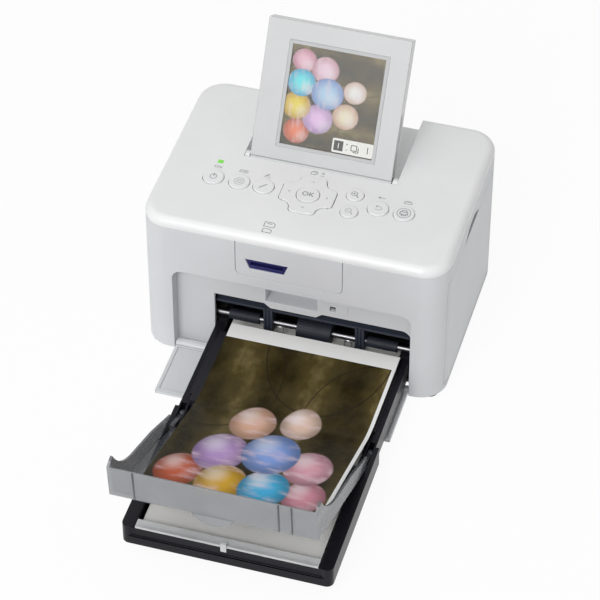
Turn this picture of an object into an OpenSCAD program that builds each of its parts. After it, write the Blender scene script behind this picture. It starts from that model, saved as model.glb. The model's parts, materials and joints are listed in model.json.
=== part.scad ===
// Compact photo printer with its paper cassette in place, the output tray raised and the display up.
// Sizes are millimetres. Heights count from the table, depths from the front face of the case.

/* [Case] */
// Width of the case
body_w = 178; // [178:1:190]
// Depth of the case, front face to rear face
body_d = 127; // [127:1:140]
// Height of the top surface above the table
body_h = 100; // [100:1:112]
// Plan radius of the four upright corners
corner_r = 16; // [15:0.5:17]
// Wall thickness of the case shells
wall_t = 2.4; // [2.2:0.1:2.6]
// Height of the top cover above its parting line
cover_h = 6; // [5.5:0.5:7]
// Radius of the rounded rim round the top cover
rim_r = 5; // [2:0.5:5.5]
// Thickness of the chassis floor
floor_t = 2.4; // [2.2:0.1:2.6]
// How far the rubber feet lift the case off the table
foot_h = 1.2; // [1:0.1:1.4]
// Radius of each rubber foot
foot_r = 5; // [4:0.25:5.25]
// Radius of the case screws' shanks
screw_r = 1.5; // [1.2:0.1:1.8]

/* [Front] */
// Width of the recess that takes the front door
recess_w = 140; // [139:0.5:141]
// Height of the recess above the table
recess_h = 62; // [60:0.5:64]
// Depth of the recess behind the front face
recess_d = 8; // [7:0.25:8]
// Radius of the upper corners of the recess
recess_r = 6; // [3:0.5:8]
// Height of the cassette opening above the table
opening_h = 43; // [41:0.5:43.5]
// Radius of the upper right corner of the cassette opening
opening_r = 6; // [3:0.5:8]
// Width of the lowered lip at the middle of the opening
lip_w = 27; // [22:1:30]
// How far the lip hangs below the opening's top edge
lip_drop = 3; // [2:0.25:4]
// Width of the finger pocket above the lip
pocket_w = 30.4; // [24:0.4:32]
// Height of the finger pocket
pocket_h = 10; // [8:0.5:11]
// Depth of the finger pocket
pocket_d = 10; // [6:0.5:11]
// Width of the door catch plate
catch_w = 15.3; // [13:0.1:17]
// Height of the door catch plate
catch_h = 5.5; // [4.5:0.1:6.5]
// Width of the slot in the catch plate
catch_slot_w = 3.5; // [3:0.1:4]

/* [Front door] */
// Thickness of the front door over its rim
door_t = 3; // [2.6:0.1:3.2]
// Length of the front door from its hinge axis to its free edge
door_l = 40.5; // [38:0.5:41]
// Gap between the open door and the table
door_rise = 0.35; // [0.25:0.05:0.5]
// Radius of the front door's hinge barrel
door_barrel_r = 2.6; // [2.4:0.05:2.7]
// Length of the tongue that enters the catch plate
tongue_l = 5; // [3:0.5:6]

/* [Card slot] */
// Width of the card panel in the front face
card_panel_w = 62; // [56:1:64]
// Height of the card panel below the parting line
card_panel_h = 24.5; // [23:0.5:26]
// Width of the card slot's mouth at its upper edge
card_slot_w = 25; // [24:0.5:27]
// Height of the card slot's mouth
card_slot_h = 7; // [6:0.25:8]
// Height of the gap that a card goes into
card_gap = 2.6; // [2.2:0.1:3]

/* [Ink door] */
// Height of the ink door's upper edge above the table
ink_door_h = 82.25; // [80:0.25:83]
// Length of the finger notch above the ink door
notch_l = 31; // [24:1:34]
// Height of the finger notch
notch_h = 5.5; // [4:0.5:6]

/* [Keys] */
// Radius of the round keys
key_r = 6; // [5.5:0.05:6.2]
// Radius of the two zoom keys
zoom_key_r = 5; // [4.5:0.1:5.5]
// Radius of the middle key
ok_key_r = 6.5; // [6:0.1:6.7]
// How far the keys stand above the cover
key_rise = 0.8; // [0.6:0.1:1.2]
// Travel of each key
key_travel = 0.6; // [0.4:0.05:0.7]
// Distance of the row of keys from the front face
key_row_y = 42; // [41:0.25:43]
// Width of the cross-shaped pad across its arms
pad_w = 31; // [30:0.5:32]
// Width of one arm of the pad
pad_arm_w = 15; // [14:0.25:16]
// Thickness of the circuit boards
board_t = 1.6; // [1.2:0.1:1.8]

/* [Display] */
// Width of the display panel
panel_w = 83.4; // [80:0.2:84]
// Length of the display panel above its hinge axis
panel_l = 83.4; // [81:0.2:85]
// Thickness of the display panel
panel_t = 9; // [8.6:0.1:9.2]
// Angle of the raised panel above the horizontal
panel_tilt = 60.3; // [55:0.1:65]
// Distance of the panel's hinge axis from the front face
panel_y = 68.9; // [68.5:0.1:71]
// Width of the visible picture area
screen_w = 54.4; // [50:0.2:58]
// Height of the visible picture area
screen_h = 58; // [54:0.2:60]
// Distance from the hinge axis to the picture area, along the panel
screen_up = 12.6; // [11:0.2:14]
// Width of the bay in the cover that the panel folds into
bay_w = 90; // [89:0.5:92]

/* [Cassette] */
// Sideways place of the cassette's middle
cassette_x = 10.5; // [8:0.25:10.75]
// Width of the cassette's rear section, which enters the case
cassette_w = 114.5; // [112:0.25:115]
// How much wider the front section is on each side
shoulder_w = 2; // [1:0.25:2.5]
// Height of the cassette's underside above the table
cassette_z = 7.5; // [7.2:0.1:8]
// Height of the cassette's side rails
rail_h = 13; // [12.6:0.1:13.2]
// Width of the cassette's side rails
rail_w = 5.5; // [5.3:0.1:6]
// Length of the cassette in front of the case
cassette_out = 156.5; // [152:0.5:162]
// Length of the cassette inside the case
cassette_in = 27; // [26:0.25:28]
// Thickness of the cassette's floor
tray_floor_t = 1.8; // [1.6:0.1:1.9]
// Depth of the clear strip along the cassette's front edge
strip_d = 5.8; // [4.5:0.1:6.5]
// Height of the inner lid's top above the rails
lid_rise = 4; // [3.5:0.25:4.25]

/* [Output tray] */
// Width of the output tray
out_tray_w = 114; // [112:0.5:116]
// Angle of the raised output tray above the horizontal
out_tray_tilt = 24.3; // [22:0.1:26]
// Distance of the output tray's hinge in front of the case
out_hinge_y = 64; // [62:0.5:67]
// Length of the output tray's floor from its hinge
out_tray_l = 119.6; // [114:0.2:124]
// Height of the output tray's side walls
out_wall_h = 9.6; // [8.5:0.1:11]
// Height of the output tray's front lip, square to its floor
out_lip_h = 18.4; // [16:0.2:20]
// How far the front lip leans outwards
out_lip_lean = 11; // [8:0.5:13]
// Wall thickness of the output tray
out_wall_t = 1.5; // [1.2:0.1:1.8]

/* [Paper] */
// Width of a sheet
paper_w = 100; // [98:0.5:101]
// Length of a sheet with its two tear-off tabs
paper_l = 173; // [170:0.5:174]
// Height of the stack in the cassette
stack_h = 4.6; // [3.6:0.1:4.6]
// Thickness of the printed sheet
sheet_t = 0.4; // [0.3:0.05:0.6]

/* [Rollers] */
// Radius of the roller shafts
shaft_r = 2; // [1.8:0.05:2.2]
// Radius of the pickup roller
pickup_r = 6.6; // [6.4:0.1:7]
// Width of the pickup roller
pickup_w = 20; // [16:0.5:24]
// Distance of the pickup shaft from the front face
pickup_y = 15; // [15:0.1:15.4]
// Radius of the capstan and pinch rollers
capstan_r = 5; // [4.5:0.1:5.2]
// Distance of the capstan from the front face
capstan_y = 40; // [39.5:0.1:40.5]
// Height of the capstan above the table
capstan_z = 50; // [49.5:0.1:50.5]
// Radius of the platen roller
platen_r = 8; // [7.5:0.1:8.2]
// Distance of the platen roller from the front face
platen_y = 83; // [82.5:0.1:83.2]
// Height of the platen roller above the table
platen_z = 49; // [48.5:0.1:49.2]
// Radius of the motor's can
motor_r = 11; // [10:0.25:11]
// Module of the gear teeth
tooth_module = 1; // [0.98:0.01:1.01]

/* [Ink cassette] */
// Outer radius of the ink cassette's two tubes
tube_r = 12; // [11.6:0.1:12.2]
// Wall thickness of the ink cassette
tube_t = 1.4; // [1:0.1:1.5]
// Distance between the two tubes' middles
tube_gap = 42; // [41:0.25:42.5]
// Height of the two tubes' middles above the table
tube_z = 66; // [65.8:0.1:66.5]
// Radius of the film rolled on the supply spool
supply_r = 9.2; // [7:0.1:9.4]
// Radius of the film rolled on the take-up spool
takeup_r = 6.5; // [5:0.1:9.2]

/* [Fits] */
// Gap round panels, keys and covers
fit = 0.25; // [0.2:0.01:0.3]
// Radial clearance of a pin or shaft that turns in its hole
run_fit = 0.05; // [0.03:0.01:0.08]

/* [Hidden] */
$fn = 48;
eps = 0.01;
white = "#ededec";
black = "#25262b";
steel = "#a9acb0";

// Case
cover_z = body_h - cover_h;
floor_z = foot_h + floor_t;
mid_y = body_d / 2;
screw_inset = 8.5;
boss_r = 3.5;
boss_hole_h = 14;
screw_head_r = 2.8;
screw_head_h = 1.2;
skirt_t = 1.6;
skirt_h = 2.5;
wall_inner = wall_t + fit;

// Front recess
recess_back = recess_d + wall_t;
opening_gap = 0.8;
opening_w = cassette_w + 2 * opening_gap;
pocket_x = -1.8;
pocket_z = opening_h + 2;
lip_x = -0.8;
lip_slope = 4.8;
catch_x = 24;
catch_slot_x = 22.75;
catch_z = opening_h + 4;
catch_t = 0.6;

// Front door
door_axis_y = door_barrel_r;
door_axis_z = door_rise + door_barrel_r;
door_w = recess_w - 1;
door_rim = 2.2;
door_dish = 0.7;
door_pin_r = 1.2;
door_pin_l = 1.8;

// Card panel and reader
card_panel_x = -1;
card_panel_z = cover_z - card_panel_h;
card_panel_r = 4;
card_flange = 2;
card_back = wall_t + 1.4;
card_x = card_panel_x - 12.9;
card_z = card_panel_z + 5.8;
card_mid_z = card_z + card_slot_h / 2;
card_taper = 2.6;
card_depth = 28;
card_w = 19;

// Ink door
ink_y0 = 10.8;
ink_y1 = body_d - corner_r;
ink_hinge_y0 = corner_r;
ink_axis_x = body_w / 2 - wall_t / 2;
ink_axis_z = floor_z + 0.8;
ink_sill_z = floor_z + 2.4;
ink_sill_gap = 0.3;
ink_pin_r = 0.7;
ink_pin_l = 2.5;
notch_y = 61.5;

// Rear panel and sockets
rear_w = 140;
rear_z0 = 6;
rear_z1 = 82;
rear_lip = 2;
vent_count = 9;
vent_pitch = 5;
inlet_x = -34;
inlet_r = 4.3;
usb_x = -56;
usb_w = 12;
usb_h = 10.8;

// Keys: places on the top surface, then the levels below it
pad_x = -2;
power_at = [-57.8, key_row_y];
menu_at = [-42.5, key_row_y];
edit_at = [-28.1, key_row_y];
zoom_in_at = [23.5, key_row_y + 7.5];
zoom_out_at = [23.9, key_row_y - 7];
back_at = [38.8, key_row_y];
print_at = [53.8, key_row_y];
pad_at = [pad_x, key_row_y];
led_at = [-57.8, key_row_y + 14];
led_size = [3, 2.5];
key_flange = 0.8;
key_flange_t = 1.2;
key_top = body_h + key_rise;
key_flange_z = body_h - wall_t - key_flange_t - 0.2;
board_z = key_flange_z - 7.6;
board_top = board_z + board_t;
dome_h = 1.3;
stem_r = 1.8;
stem_z = board_top + dome_h + key_travel + 0.15;
board_w = 132;
board_x = -2;
board_y0 = key_row_y - 18;
board_y1 = key_row_y + 18;
post_inset = [4, 3];
post_r = 2.2;
pad_fit = fit + 0.1;
pad_flange_z = key_flange_z - 0.7;
pad_pin_r = 1.2;
pad_pin_z = pad_flange_z - 0.5;
cradle_x = 10.3;
pad_nub = 13.5;

// Display
panel_x = -1.8;
barrel_r = panel_t / 2;
panel_z = body_h - barrel_r;
panel_split = -1;
panel_shell_t = 1.6;
screen_shift = 1.3;
window_rim = 2;
window_t = 0.9;
bay_floor_t = 2;
bay_floor_z = body_h - panel_t - 1;
bay_y0 = panel_y - barrel_r - 0.4;
bay_lip_y = panel_y - barrel_r + 0.6;
bay_lip_t = 1.7;
ear_w = (bay_w - panel_w) / 2 - 0.4;
display_pin_r = 1.6;

// Cassette
cassette_y0 = -cassette_out;
cassette_y1 = cassette_in;
half_cassette = cassette_w / 2;
rail_z = cassette_z + rail_h;
shoulder_y = 2 - out_hinge_y;
cassette_corner_r = 4;
front_step_z = cassette_z + 6;
front_wall_z = rail_z - 0.8;
lift_z = cassette_z + tray_floor_t + 1.3;
lift_t = 1;
stack_z = lift_z + lift_t;
stack_top = stack_z + stack_h;
stack_y1 = cassette_y1 - 3.5;
lid_y0 = 4 - out_hinge_y;
lid_y1 = -2;
lid_top = rail_z + lid_rise;
lid_t = 1.6;
half_lid = half_cassette - rail_w - 0.3;
guide_ledge = 3;
guide_y0 = recess_back + 1.5;
guide_y1 = cassette_y1 + 3;

// Output tray
out_axis_z = rail_z - 5.5;
out_x = cassette_x - 0.5;
out_floor_t = 1.4;
out_floor_drop = 1.3;
out_body_s = 18;
out_rear_h = 6.8;
out_level_s = 53;
out_arm_w = 2.6;
out_arm_x = half_cassette - 4;
out_arm_gap = 0.3;
out_knuckle_r = 3.2;
out_pin_r = 1.5;
out_pin_l = 2.4;
horn_s = out_tray_l + out_lip_lean - 4.9;
horn_t = out_lip_h + 4.9;
sweep_r = 66;
sweep_s = horn_s - sqrt(pow(sweep_r, 2) - pow(sweep_r - horn_t + out_wall_h, 2));
tab_r = 17;
tab_drop = 4.9;
tab_t = 0.6;

// Whole printer: the output tray's lip or its finger tab is foremost, and the middle is the origin
lip_reach = (out_tray_l + out_lip_lean) * cos(out_tray_tilt) - out_lip_h * sin(out_tray_tilt);
tab_reach = (out_tray_l + tab_t) * cos(out_tray_tilt)
    + (out_floor_drop + tab_drop) * sin(out_tray_tilt);
front_y = (out_hinge_y + max(lip_reach, tab_reach) - body_d) / 2;

// Printed sheet
print_x = cassette_x + 3;
print_z = lid_top + 0.3;
print_y1 = 5;
print_bend_y = 6 - out_hinge_y;
print_rise = 19.5;

// Side frames
frame_t = 1.2;
frame_x0 = 0.4 - recess_w / 2 - wall_t;
frame_x1 = body_w / 2 - 13;
frame_y0 = recess_back + 0.6;
frame_y1 = body_d - 9;
frame_top = body_h - 14;
frame_front_z = 70;
frame_slope_y = 30;

// Rollers and guides
pickup_z = stack_top + 0.2 + pickup_r;
pinch_z = capstan_z + 2 * capstan_r + 0.4;
roller_half = 56.5;
roller_x0 = cassette_x - roller_half;
roller_x1 = cassette_x + roller_half;
groove_count = 24;
sleeve_r = 3.2;
sleeve_l = 18;
hanger_x = 27.2;
hanger_w = 5.4;
hanger_z = stack_top + 0.8;
guide_z = pickup_z + 11;
guide_t = 1.5;
wire_r = 0.4;
wire_x = 20.3;

// Ink cassette
supply_y = platen_y - tube_gap / 2;
takeup_y = platen_y + tube_gap / 2;
ink_x0 = roller_x0 - 4;
ink_x1 = frame_x1 + 0.4;
ink_end_t = 2;
spool_core_r = 4;
journal_r = 3;
film_t = 0.3;
film_z = platen_z + platen_r + 0.15;
head_z = film_z + film_t + 0.15;
head_d = 6;
head_t = 2.4;

// Gears
gear_w = 3.5;
gear_x = frame_x0 - 1 - gear_w;
stud_r = 1.5;
pinion_teeth = 12;
capstan_teeth = 24;
transfer_teeth = 20;
platen_teeth = 28;
idler_teeth = 18;
pickup_teeth = 18;
motor_angle = 165;
motor_l = 17;
motor_shaft_r = 1.2;

// Main board
main_board_z = floor_z + 2.4;
main_board_top = main_board_z + board_t;
main_board_x = 60;
main_board_y0 = 45;
main_board_y1 = body_d - 6;

// Places the printer so that its middle is over the origin
module from_front() {
    translate([0, front_y, 0]) children();
}

// Box from its low corner to its high corner
module block(low, high) {
    translate(low) cube(high - low);
}

// Cylinder along X between two places
module rod_x(x0, x1, y, z, r) {
    translate([x0, y, z]) rotate([0, 90, 0]) cylinder(r = r, h = x1 - x0);
}

// Cylinder along Y between two places
module rod_y(y0, y1, x, z, r) {
    translate([x, y0, z]) rotate([-90, 0, 0]) cylinder(r = r, h = y1 - y0);
}

// Extrudes an outline drawn in the Y-Z plane along X
module side_profile(x0, x1) {
    translate([x0, 0, 0]) rotate([90, 0, 90]) linear_extrude(x1 - x0) children();
}

// Extrudes an outline drawn in the X-Z plane along Y
module front_profile(y0, y1) {
    translate([0, y1, 0]) rotate([90, 0, 0]) linear_extrude(y1 - y0) children();
}

// Plan rectangle with round corners, centred
module round_plan(w, d, r) {
    square([w - 2 * r, d], center = true);
    square([w, d - 2 * r], center = true);
    for (x = [-1, 1], y = [-1, 1]) {
        translate([x * (w / 2 - r), y * (d / 2 - r)]) circle(r = r);
    }
}

// Block with the case's plan, drawn in by an inset
module case_block(inset, z0, z1) {
    translate([0, mid_y, z0]) linear_extrude(z1 - z0)
        round_plan(body_w - 2 * inset, body_d - 2 * inset, corner_r - inset);
}

// Front outline with two round upper corners
module arch(w, z0, z1, r) {
    translate([-w / 2, z0]) square([w, z1 - z0 - r]);
    translate([r - w / 2, z0]) square([w - 2 * r, z1 - z0]);
    for (x = [-1, 1]) {
        translate([x * (w / 2 - r), z1 - r]) circle(r = r);
    }
}

// The places of the four case screws and of the feet under them
module screw_places() {
    for (x = [-1, 1], y = [screw_inset, body_d - screw_inset]) {
        translate([x * (body_w / 2 - screw_inset), y, 0]) children();
    }
}

// ---- Case ----

module bottom_chassis() from_front() color(black) {
    difference() {
        union() {
            case_block(wall_inner, foot_h, floor_z);
            for (x = [0, 1]) {
                translate([cassette_x, 0, 0]) mirror([x, 0, 0]) cassette_guide();
            }
            for (x = [-1, 1], y = [main_board_y0 + 5, main_board_y1 - 5]) {
                translate([x * (main_board_x - 8), y, floor_z - eps])
                    cylinder(r = 2.5, h = main_board_z - floor_z + eps);
            }
        }
        block([-recess_w / 2 - wall_inner, -1, 0],
            [recess_w / 2 + wall_inner, recess_back + fit, body_h]);
        screw_places() cylinder(r = screw_r + fit, h = body_h);
        screw_places() cylinder(r = screw_head_r + fit, h = foot_h + screw_head_h + 0.2);
    }
}

// Runner under the cassette's right rail, wall beside it, ledge above it and stop behind it
module cassette_guide() {
    wall_x = half_cassette + 0.5;
    ledge_y = pickup_y + 4;
    block([half_cassette - 12, guide_y0, floor_z - eps], [half_cassette, guide_y1, cassette_z - 0.15]);
    block([wall_x, guide_y0, floor_z - eps], [wall_x + 2, guide_y1, pickup_z - shaft_r - 1]);
    block([wall_x, ledge_y, floor_z - eps], [wall_x + 2, guide_y1, rail_z + 1.8]);
    block([wall_x - guide_ledge, ledge_y, rail_z + 0.3], [wall_x + eps, guide_y1, rail_z + 1.8]);
    block([half_cassette - 12, cassette_y1 + 0.8, floor_z - eps],
        [wall_x + eps, guide_y1, cassette_z + 6]);
}

module rubber_feet() from_front() color("#1b1b1d") screw_places() {
    cylinder(r = foot_r, h = foot_h);
}

module case_screws() from_front() color("#8d9095") screw_places() translate([0, 0, foot_h + 0.2]) {
    cylinder(r = screw_head_r, h = screw_head_h);
    cylinder(r = screw_r, h = boss_hole_h);
}

module main_housing() from_front() color(white) {
    difference() {
        union() {
            difference() {
                case_block(0, foot_h, cover_z);
                difference() {
                    case_block(wall_t, -1, body_h);
                    front_profile(-1, recess_back)
                        arch(recess_w + 2 * wall_t, 0, recess_h + wall_t, recess_r + wall_t);
                    pocket_box(wall_t, 0);
                }
            }
            screw_places() translate([0, 0, floor_z])
                cylinder(r = boss_r, h = cover_z - skirt_h - 1 - floor_z);
        }
        front_profile(-1, recess_d) arch(recess_w, -1, recess_h, recess_r);
        front_profile(recess_d - 1, recess_back + 1) opening_outline();
        pocket_box(0, 1);
        block([catch_slot_x - catch_slot_w / 2, recess_d - 1, catch_z + 1],
            [catch_slot_x + catch_slot_w / 2, recess_back + 1, catch_z + catch_h - 1]);
        front_profile(-1, wall_t + 1) card_panel_outline(fit);
        ink_door_space();
        finger_notch();
        front_profile(body_d - wall_t - 1, body_d + 1) rear_outline(fit);
        block([panel_x - bay_w / 2 - wall_inner, body_d - wall_t - 1, bay_floor_z - bay_floor_t - fit],
            [panel_x + bay_w / 2 + wall_inner, body_d + 1, body_h]);
        screw_places() cylinder(r = screw_r, h = foot_h + boss_hole_h + 0.5);
        rod_x(-door_w / 2 - door_pin_l - 0.3, door_w / 2 + door_pin_l + 0.3, door_axis_y, door_axis_z,
            door_pin_r + run_fit);
        rod_y(ink_hinge_y0 - ink_pin_l - 0.3, ink_y1 + ink_pin_l + 0.3, ink_axis_x, ink_axis_z,
            ink_pin_r + run_fit);
    }
}

// Finger pocket above the lip, grown by its wall or opened to the front
module pocket_box(margin, open) {
    block([pocket_x - pocket_w / 2 - margin, recess_d - open, pocket_z - margin],
        [pocket_x + pocket_w / 2 + margin, recess_d + pocket_d + margin, pocket_z + pocket_h + margin]);
}

// Cassette opening with its lowered lip and its one round corner
module opening_outline() {
    x0 = cassette_x - opening_w / 2;
    x1 = cassette_x + opening_w / 2;
    difference() {
        union() {
            translate([x0, -1]) square([opening_w - opening_r, opening_h + 1]);
            translate([x0, -1]) square([opening_w, opening_h + 1 - opening_r]);
            translate([x1 - opening_r, opening_h - opening_r]) circle(r = opening_r);
        }
        polygon([[lip_x - lip_w / 2 - lip_slope, opening_h + 1],
            [lip_x - lip_w / 2, opening_h - lip_drop],
            [lip_x + lip_w / 2, opening_h - lip_drop], [lip_x + lip_w / 2 + lip_slope, opening_h + 1]]);
    }
}

module door_catch() from_front() color(white) {
    difference() {
        block([catch_x - catch_w / 2, recess_d - catch_t, catch_z],
            [catch_x + catch_w / 2, recess_d, catch_z + catch_h]);
        block([catch_slot_x - catch_slot_w / 2, recess_d - 1, catch_z + 1],
            [catch_slot_x + catch_slot_w / 2, recess_d + 1, catch_z + catch_h - 1]);
    }
}

// Card panel's front outline with round lower corners
module card_panel_outline(gap) {
    half = card_panel_w / 2;
    translate([card_panel_x - half - gap, card_panel_z + card_panel_r])
        square([card_panel_w + 2 * gap, card_panel_h - card_panel_r + gap]);
    translate([card_panel_x - half + card_panel_r, card_panel_z - gap])
        square([card_panel_w - 2 * card_panel_r, card_panel_r + 2 * gap]);
    for (x = [-1, 1]) {
        translate([card_panel_x + x * (half - card_panel_r), card_panel_z + card_panel_r])
            circle(r = card_panel_r + gap);
    }
}

// Tapered mouth of the card slot
module card_mouth(margin) {
    half = card_slot_w / 2 + margin;
    polygon([[card_x - half, card_z + card_slot_h + margin],
        [card_x + half, card_z + card_slot_h + margin],
        [card_x + half - card_taper, card_z - margin], [card_x - half + card_taper, card_z - margin]]);
}

module card_panel() from_front() color(white) {
    half = card_panel_w / 2;
    top = cover_z - skirt_h - 0.6;
    difference() {
        union() {
            front_profile(0, wall_t) card_panel_outline(0);
            block([card_panel_x - half + 1, wall_t - eps, card_panel_z + 1],
                [card_panel_x + half - 1, card_back, top]);
            block([card_panel_x - half - card_flange, wall_t + 0.05, card_panel_z + 1],
                [card_panel_x + half + card_flange, card_back, top]);
        }
        front_profile(-1, card_back + 1) card_mouth(0);
    }
}

// Tapered nose in the panel's mouth, with the card reader's housing behind it
module card_slot() from_front() color("#2b2f7c") {
    difference() {
        union() {
            front_profile(0.7, card_back + eps) card_mouth(-0.1);
            block([card_x - card_w / 2 - 3, card_back, card_mid_z - card_gap / 2 - 1.2],
                [card_x + card_w / 2 + 3, wall_t + card_depth, card_mid_z + card_gap / 2 + 1.2]);
        }
        block([card_x - card_w / 2, 0, card_mid_z - card_gap / 2],
            [card_x + card_w / 2, wall_t + card_depth - 1.5, card_mid_z + card_gap / 2]);
    }
}

// Space that the ink door and its hinge take out of the right side
module ink_door_space() {
    outside = body_w / 2 + 1;
    block([body_w / 2 - 4.5, ink_y0 - fit, ink_sill_z - ink_sill_gap],
        [outside, ink_y1 + fit, ink_door_h + fit]);
    block([body_w / 2 - wall_t - 0.2, ink_hinge_y0 - fit, ink_axis_z - wall_t / 2 - fit],
        [outside, ink_y1 + fit, ink_sill_z + eps]);
}

// Lens-shaped scoop that a finger reaches over the ink door
module finger_notch() {
    notch_r = (pow(notch_h, 2) + pow(notch_l / 2, 2)) / (2 * notch_h);
    intersection() {
        block([body_w / 2 - 8, notch_y - notch_l, ink_door_h],
            [body_w / 2 + 1, notch_y + notch_l, cover_z - 1]);
        rod_x(body_w / 2 - 9, body_w / 2 + 2, notch_y, ink_door_h + fit + notch_h - notch_r, notch_r);
    }
}

module ink_door() from_front() color(white) {
    inner_x = body_w / 2 - wall_t;
    difference() {
        case_block(0, ink_sill_z + fit, ink_door_h);
        case_block(wall_t, 0, body_h);
        block([-body_w, -1, 0], [body_w / 2 - 8, body_d + 1, body_h]);
        block([-body_w, -1, 0], [body_w, ink_y0, body_h]);
        block([-body_w, ink_y1, 0], [body_w, body_d + 1, body_h]);
    }
    block([inner_x, ink_hinge_y0, ink_axis_z], [body_w / 2, ink_y1, ink_sill_z + fit + eps]);
    rod_y(ink_hinge_y0, ink_y1, ink_axis_x, ink_axis_z, wall_t / 2);
    rod_y(ink_hinge_y0 - ink_pin_l, ink_y1 + ink_pin_l, ink_axis_x, ink_axis_z, ink_pin_r);
    for (y = [ink_hinge_y0 + 14, mid_y, ink_y1 - 15]) {
        block([inner_x - 2, y, floor_z + 8], [inner_x + eps, y + 1.4, ink_door_h - 4]);
    }
}

// Rear opening's outline, also the rear panel's
module rear_outline(margin) {
    translate([-rear_w / 2 - margin, rear_z0 - margin])
        square([rear_w + 2 * margin, rear_z1 - rear_z0 + 2 * margin]);
}

module rear_panel() from_front() color("#dcdcdb") {
    inside = body_d - wall_t;
    difference() {
        union() {
            front_profile(inside - 1, body_d) rear_outline(0);
            front_profile(inside - 1.6, inside - 0.05) rear_outline(rear_lip);
        }
        for (i = [0 : vent_count - 1]) {
            block([20 + vent_pitch * i, inside - 2, rear_z0 + 44],
                [22 + vent_pitch * i, body_d + 1, rear_z1 - 8]);
        }
        rod_y(inside - 2, body_d + 1, inlet_x, main_board_top + usb_h / 2, inlet_r);
        block([usb_x - usb_w / 2, inside - 2, main_board_top],
            [usb_x + usb_w / 2, body_d + 1, main_board_top + usb_h]);
    }
}

// Cross-section of the cover's rim, from the corner centre outwards
module rim_outline() {
    square([corner_r - rim_r, cover_h]);
    square([corner_r, cover_h - rim_r]);
    translate([corner_r - rim_r, cover_h - rim_r]) circle(r = rim_r);
}

// Quarter of the rim: one round corner with the straight stretches beside it
module rim_quarter(step_x, step_y) {
    translate([step_x, step_y, 0]) rotate_extrude(angle = 90) intersection() {
        rim_outline();
        square(corner_r + 1);
    }
    translate([step_x, step_y, 0]) rotate([90, 0, 0]) linear_extrude(step_y) intersection() {
        rim_outline();
        square(corner_r + 1);
    }
    translate([0, step_y, 0]) rotate([90, 0, 90]) linear_extrude(step_x) intersection() {
        rim_outline();
        square(corner_r + 1);
    }
}

// Solid cap over the whole case, with its rounded upper rim
module cap() {
    step_x = body_w / 2 - corner_r;
    step_y = mid_y - corner_r;
    translate([0, mid_y, cover_z]) {
        block([-step_x, -step_y, 0], [step_x, step_y, cover_h]);
        for (x = [0, 1], y = [0, 1]) {
            mirror([x, 0, 0]) mirror([0, y, 0]) rim_quarter(step_x, step_y);
        }
    }
}

module top_cover() from_front() color("#f1f1f1") {
    difference() {
        union() {
            difference() {
                cap();
                case_block(wall_t + 2, cover_z - 1, body_h - wall_t);
            }
            difference() {
                case_block(wall_inner, cover_z - skirt_h, cover_z + 1);
                case_block(wall_inner + skirt_t, cover_z - skirt_h - 1, body_h);
            }
            bay_tub();
            for (x = [-1, 1], y = [board_y0 + post_inset[1], board_y1 - post_inset[1]]) {
                translate([board_x + x * (board_w / 2 - post_inset[0]), y, board_top])
                    cylinder(r = post_r, h = body_h - 1 - board_top);
            }
        }
        bay_space();
        rod_x(panel_x - bay_w / 2 - 0.8, panel_x + bay_w / 2 + 0.8, panel_y, panel_z,
            display_pin_r + run_fit);
        for (place = [power_at, menu_at, edit_at, back_at, print_at]) {
            key_hole(place, key_r + fit);
        }
        key_hole(zoom_in_at, zoom_key_r + fit);
        key_hole(zoom_out_at, zoom_key_r + fit);
        pad_cross(pad_fit, body_h - wall_t - 1, body_h + 1);
        led_pipe(body_h - wall_t - 1, body_h + 1);
    }
}

// Tub under the display bay; it also closes the notch at the top of the rear wall
module bay_tub() {
    half = bay_w / 2 + wall_t;
    low = bay_floor_z - bay_floor_t;
    block([panel_x - half, bay_y0 - wall_t, low], [panel_x + half, body_d - wall_inner, body_h - 1]);
    block([panel_x - half, body_d - wall_inner - 1, low],
        [panel_x + half, body_d - 0.3, cover_z + 0.5]);
}

// Room for the folded display, less the two ears that carry its pin
module bay_space() {
    half = bay_w / 2;
    difference() {
        union() {
            block([panel_x - half, bay_y0, bay_floor_z],
                [panel_x + half, body_d + 1, body_h - bay_lip_t + eps]);
            block([panel_x - half, bay_lip_y, body_h - bay_lip_t],
                [panel_x + half, body_d + 1, body_h + 1]);
        }
        for (x = [panel_x - half - 1, panel_x + half - ear_w]) {
            rod_x(x, x + ear_w + 1, panel_y, panel_z, barrel_r - 0.3);
            block([x, panel_y - 3, bay_floor_z - 1], [x + ear_w + 1, panel_y + 3, panel_z]);
        }
    }
}

// ---- Keys ----

module key_hole(place, r) {
    translate([place[0], place[1], body_h - wall_t - 1]) cylinder(r = r, h = wall_t + 2);
}

// Round key with the flange that keeps it under the cover and the stem that reaches its dome
module round_key(place, r) from_front() color("#f4f4f3") translate([place[0], place[1], 0]) {
    translate([0, 0, key_flange_z]) cylinder(r = r, h = key_top - key_flange_z);
    translate([0, 0, key_flange_z]) cylinder(r = r + key_flange, h = key_flange_t);
    translate([0, 0, stem_z]) cylinder(r = stem_r, h = key_flange_z - stem_z + eps);
}

module power_key() round_key(power_at, key_r);
module menu_key() round_key(menu_at, key_r);
module edit_key() round_key(edit_at, key_r);
module zoom_in_key() round_key(zoom_in_at, zoom_key_r);
module zoom_out_key() round_key(zoom_out_at, zoom_key_r);
module back_key() round_key(back_at, key_r);
module print_key() round_key(print_at, key_r);

module ok_key() from_front() color("#f4f4f3") translate([pad_x, key_row_y, 0]) {
    flange_z = pad_flange_z - 1.9;
    translate([0, 0, flange_z]) cylinder(r = ok_key_r, h = key_top + 0.1 - flange_z);
    translate([0, 0, flange_z]) cylinder(r = ok_key_r + key_flange, h = 0.9);
    translate([0, 0, stem_z]) cylinder(r = stem_r, h = flange_z - stem_z + eps);
}

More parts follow.
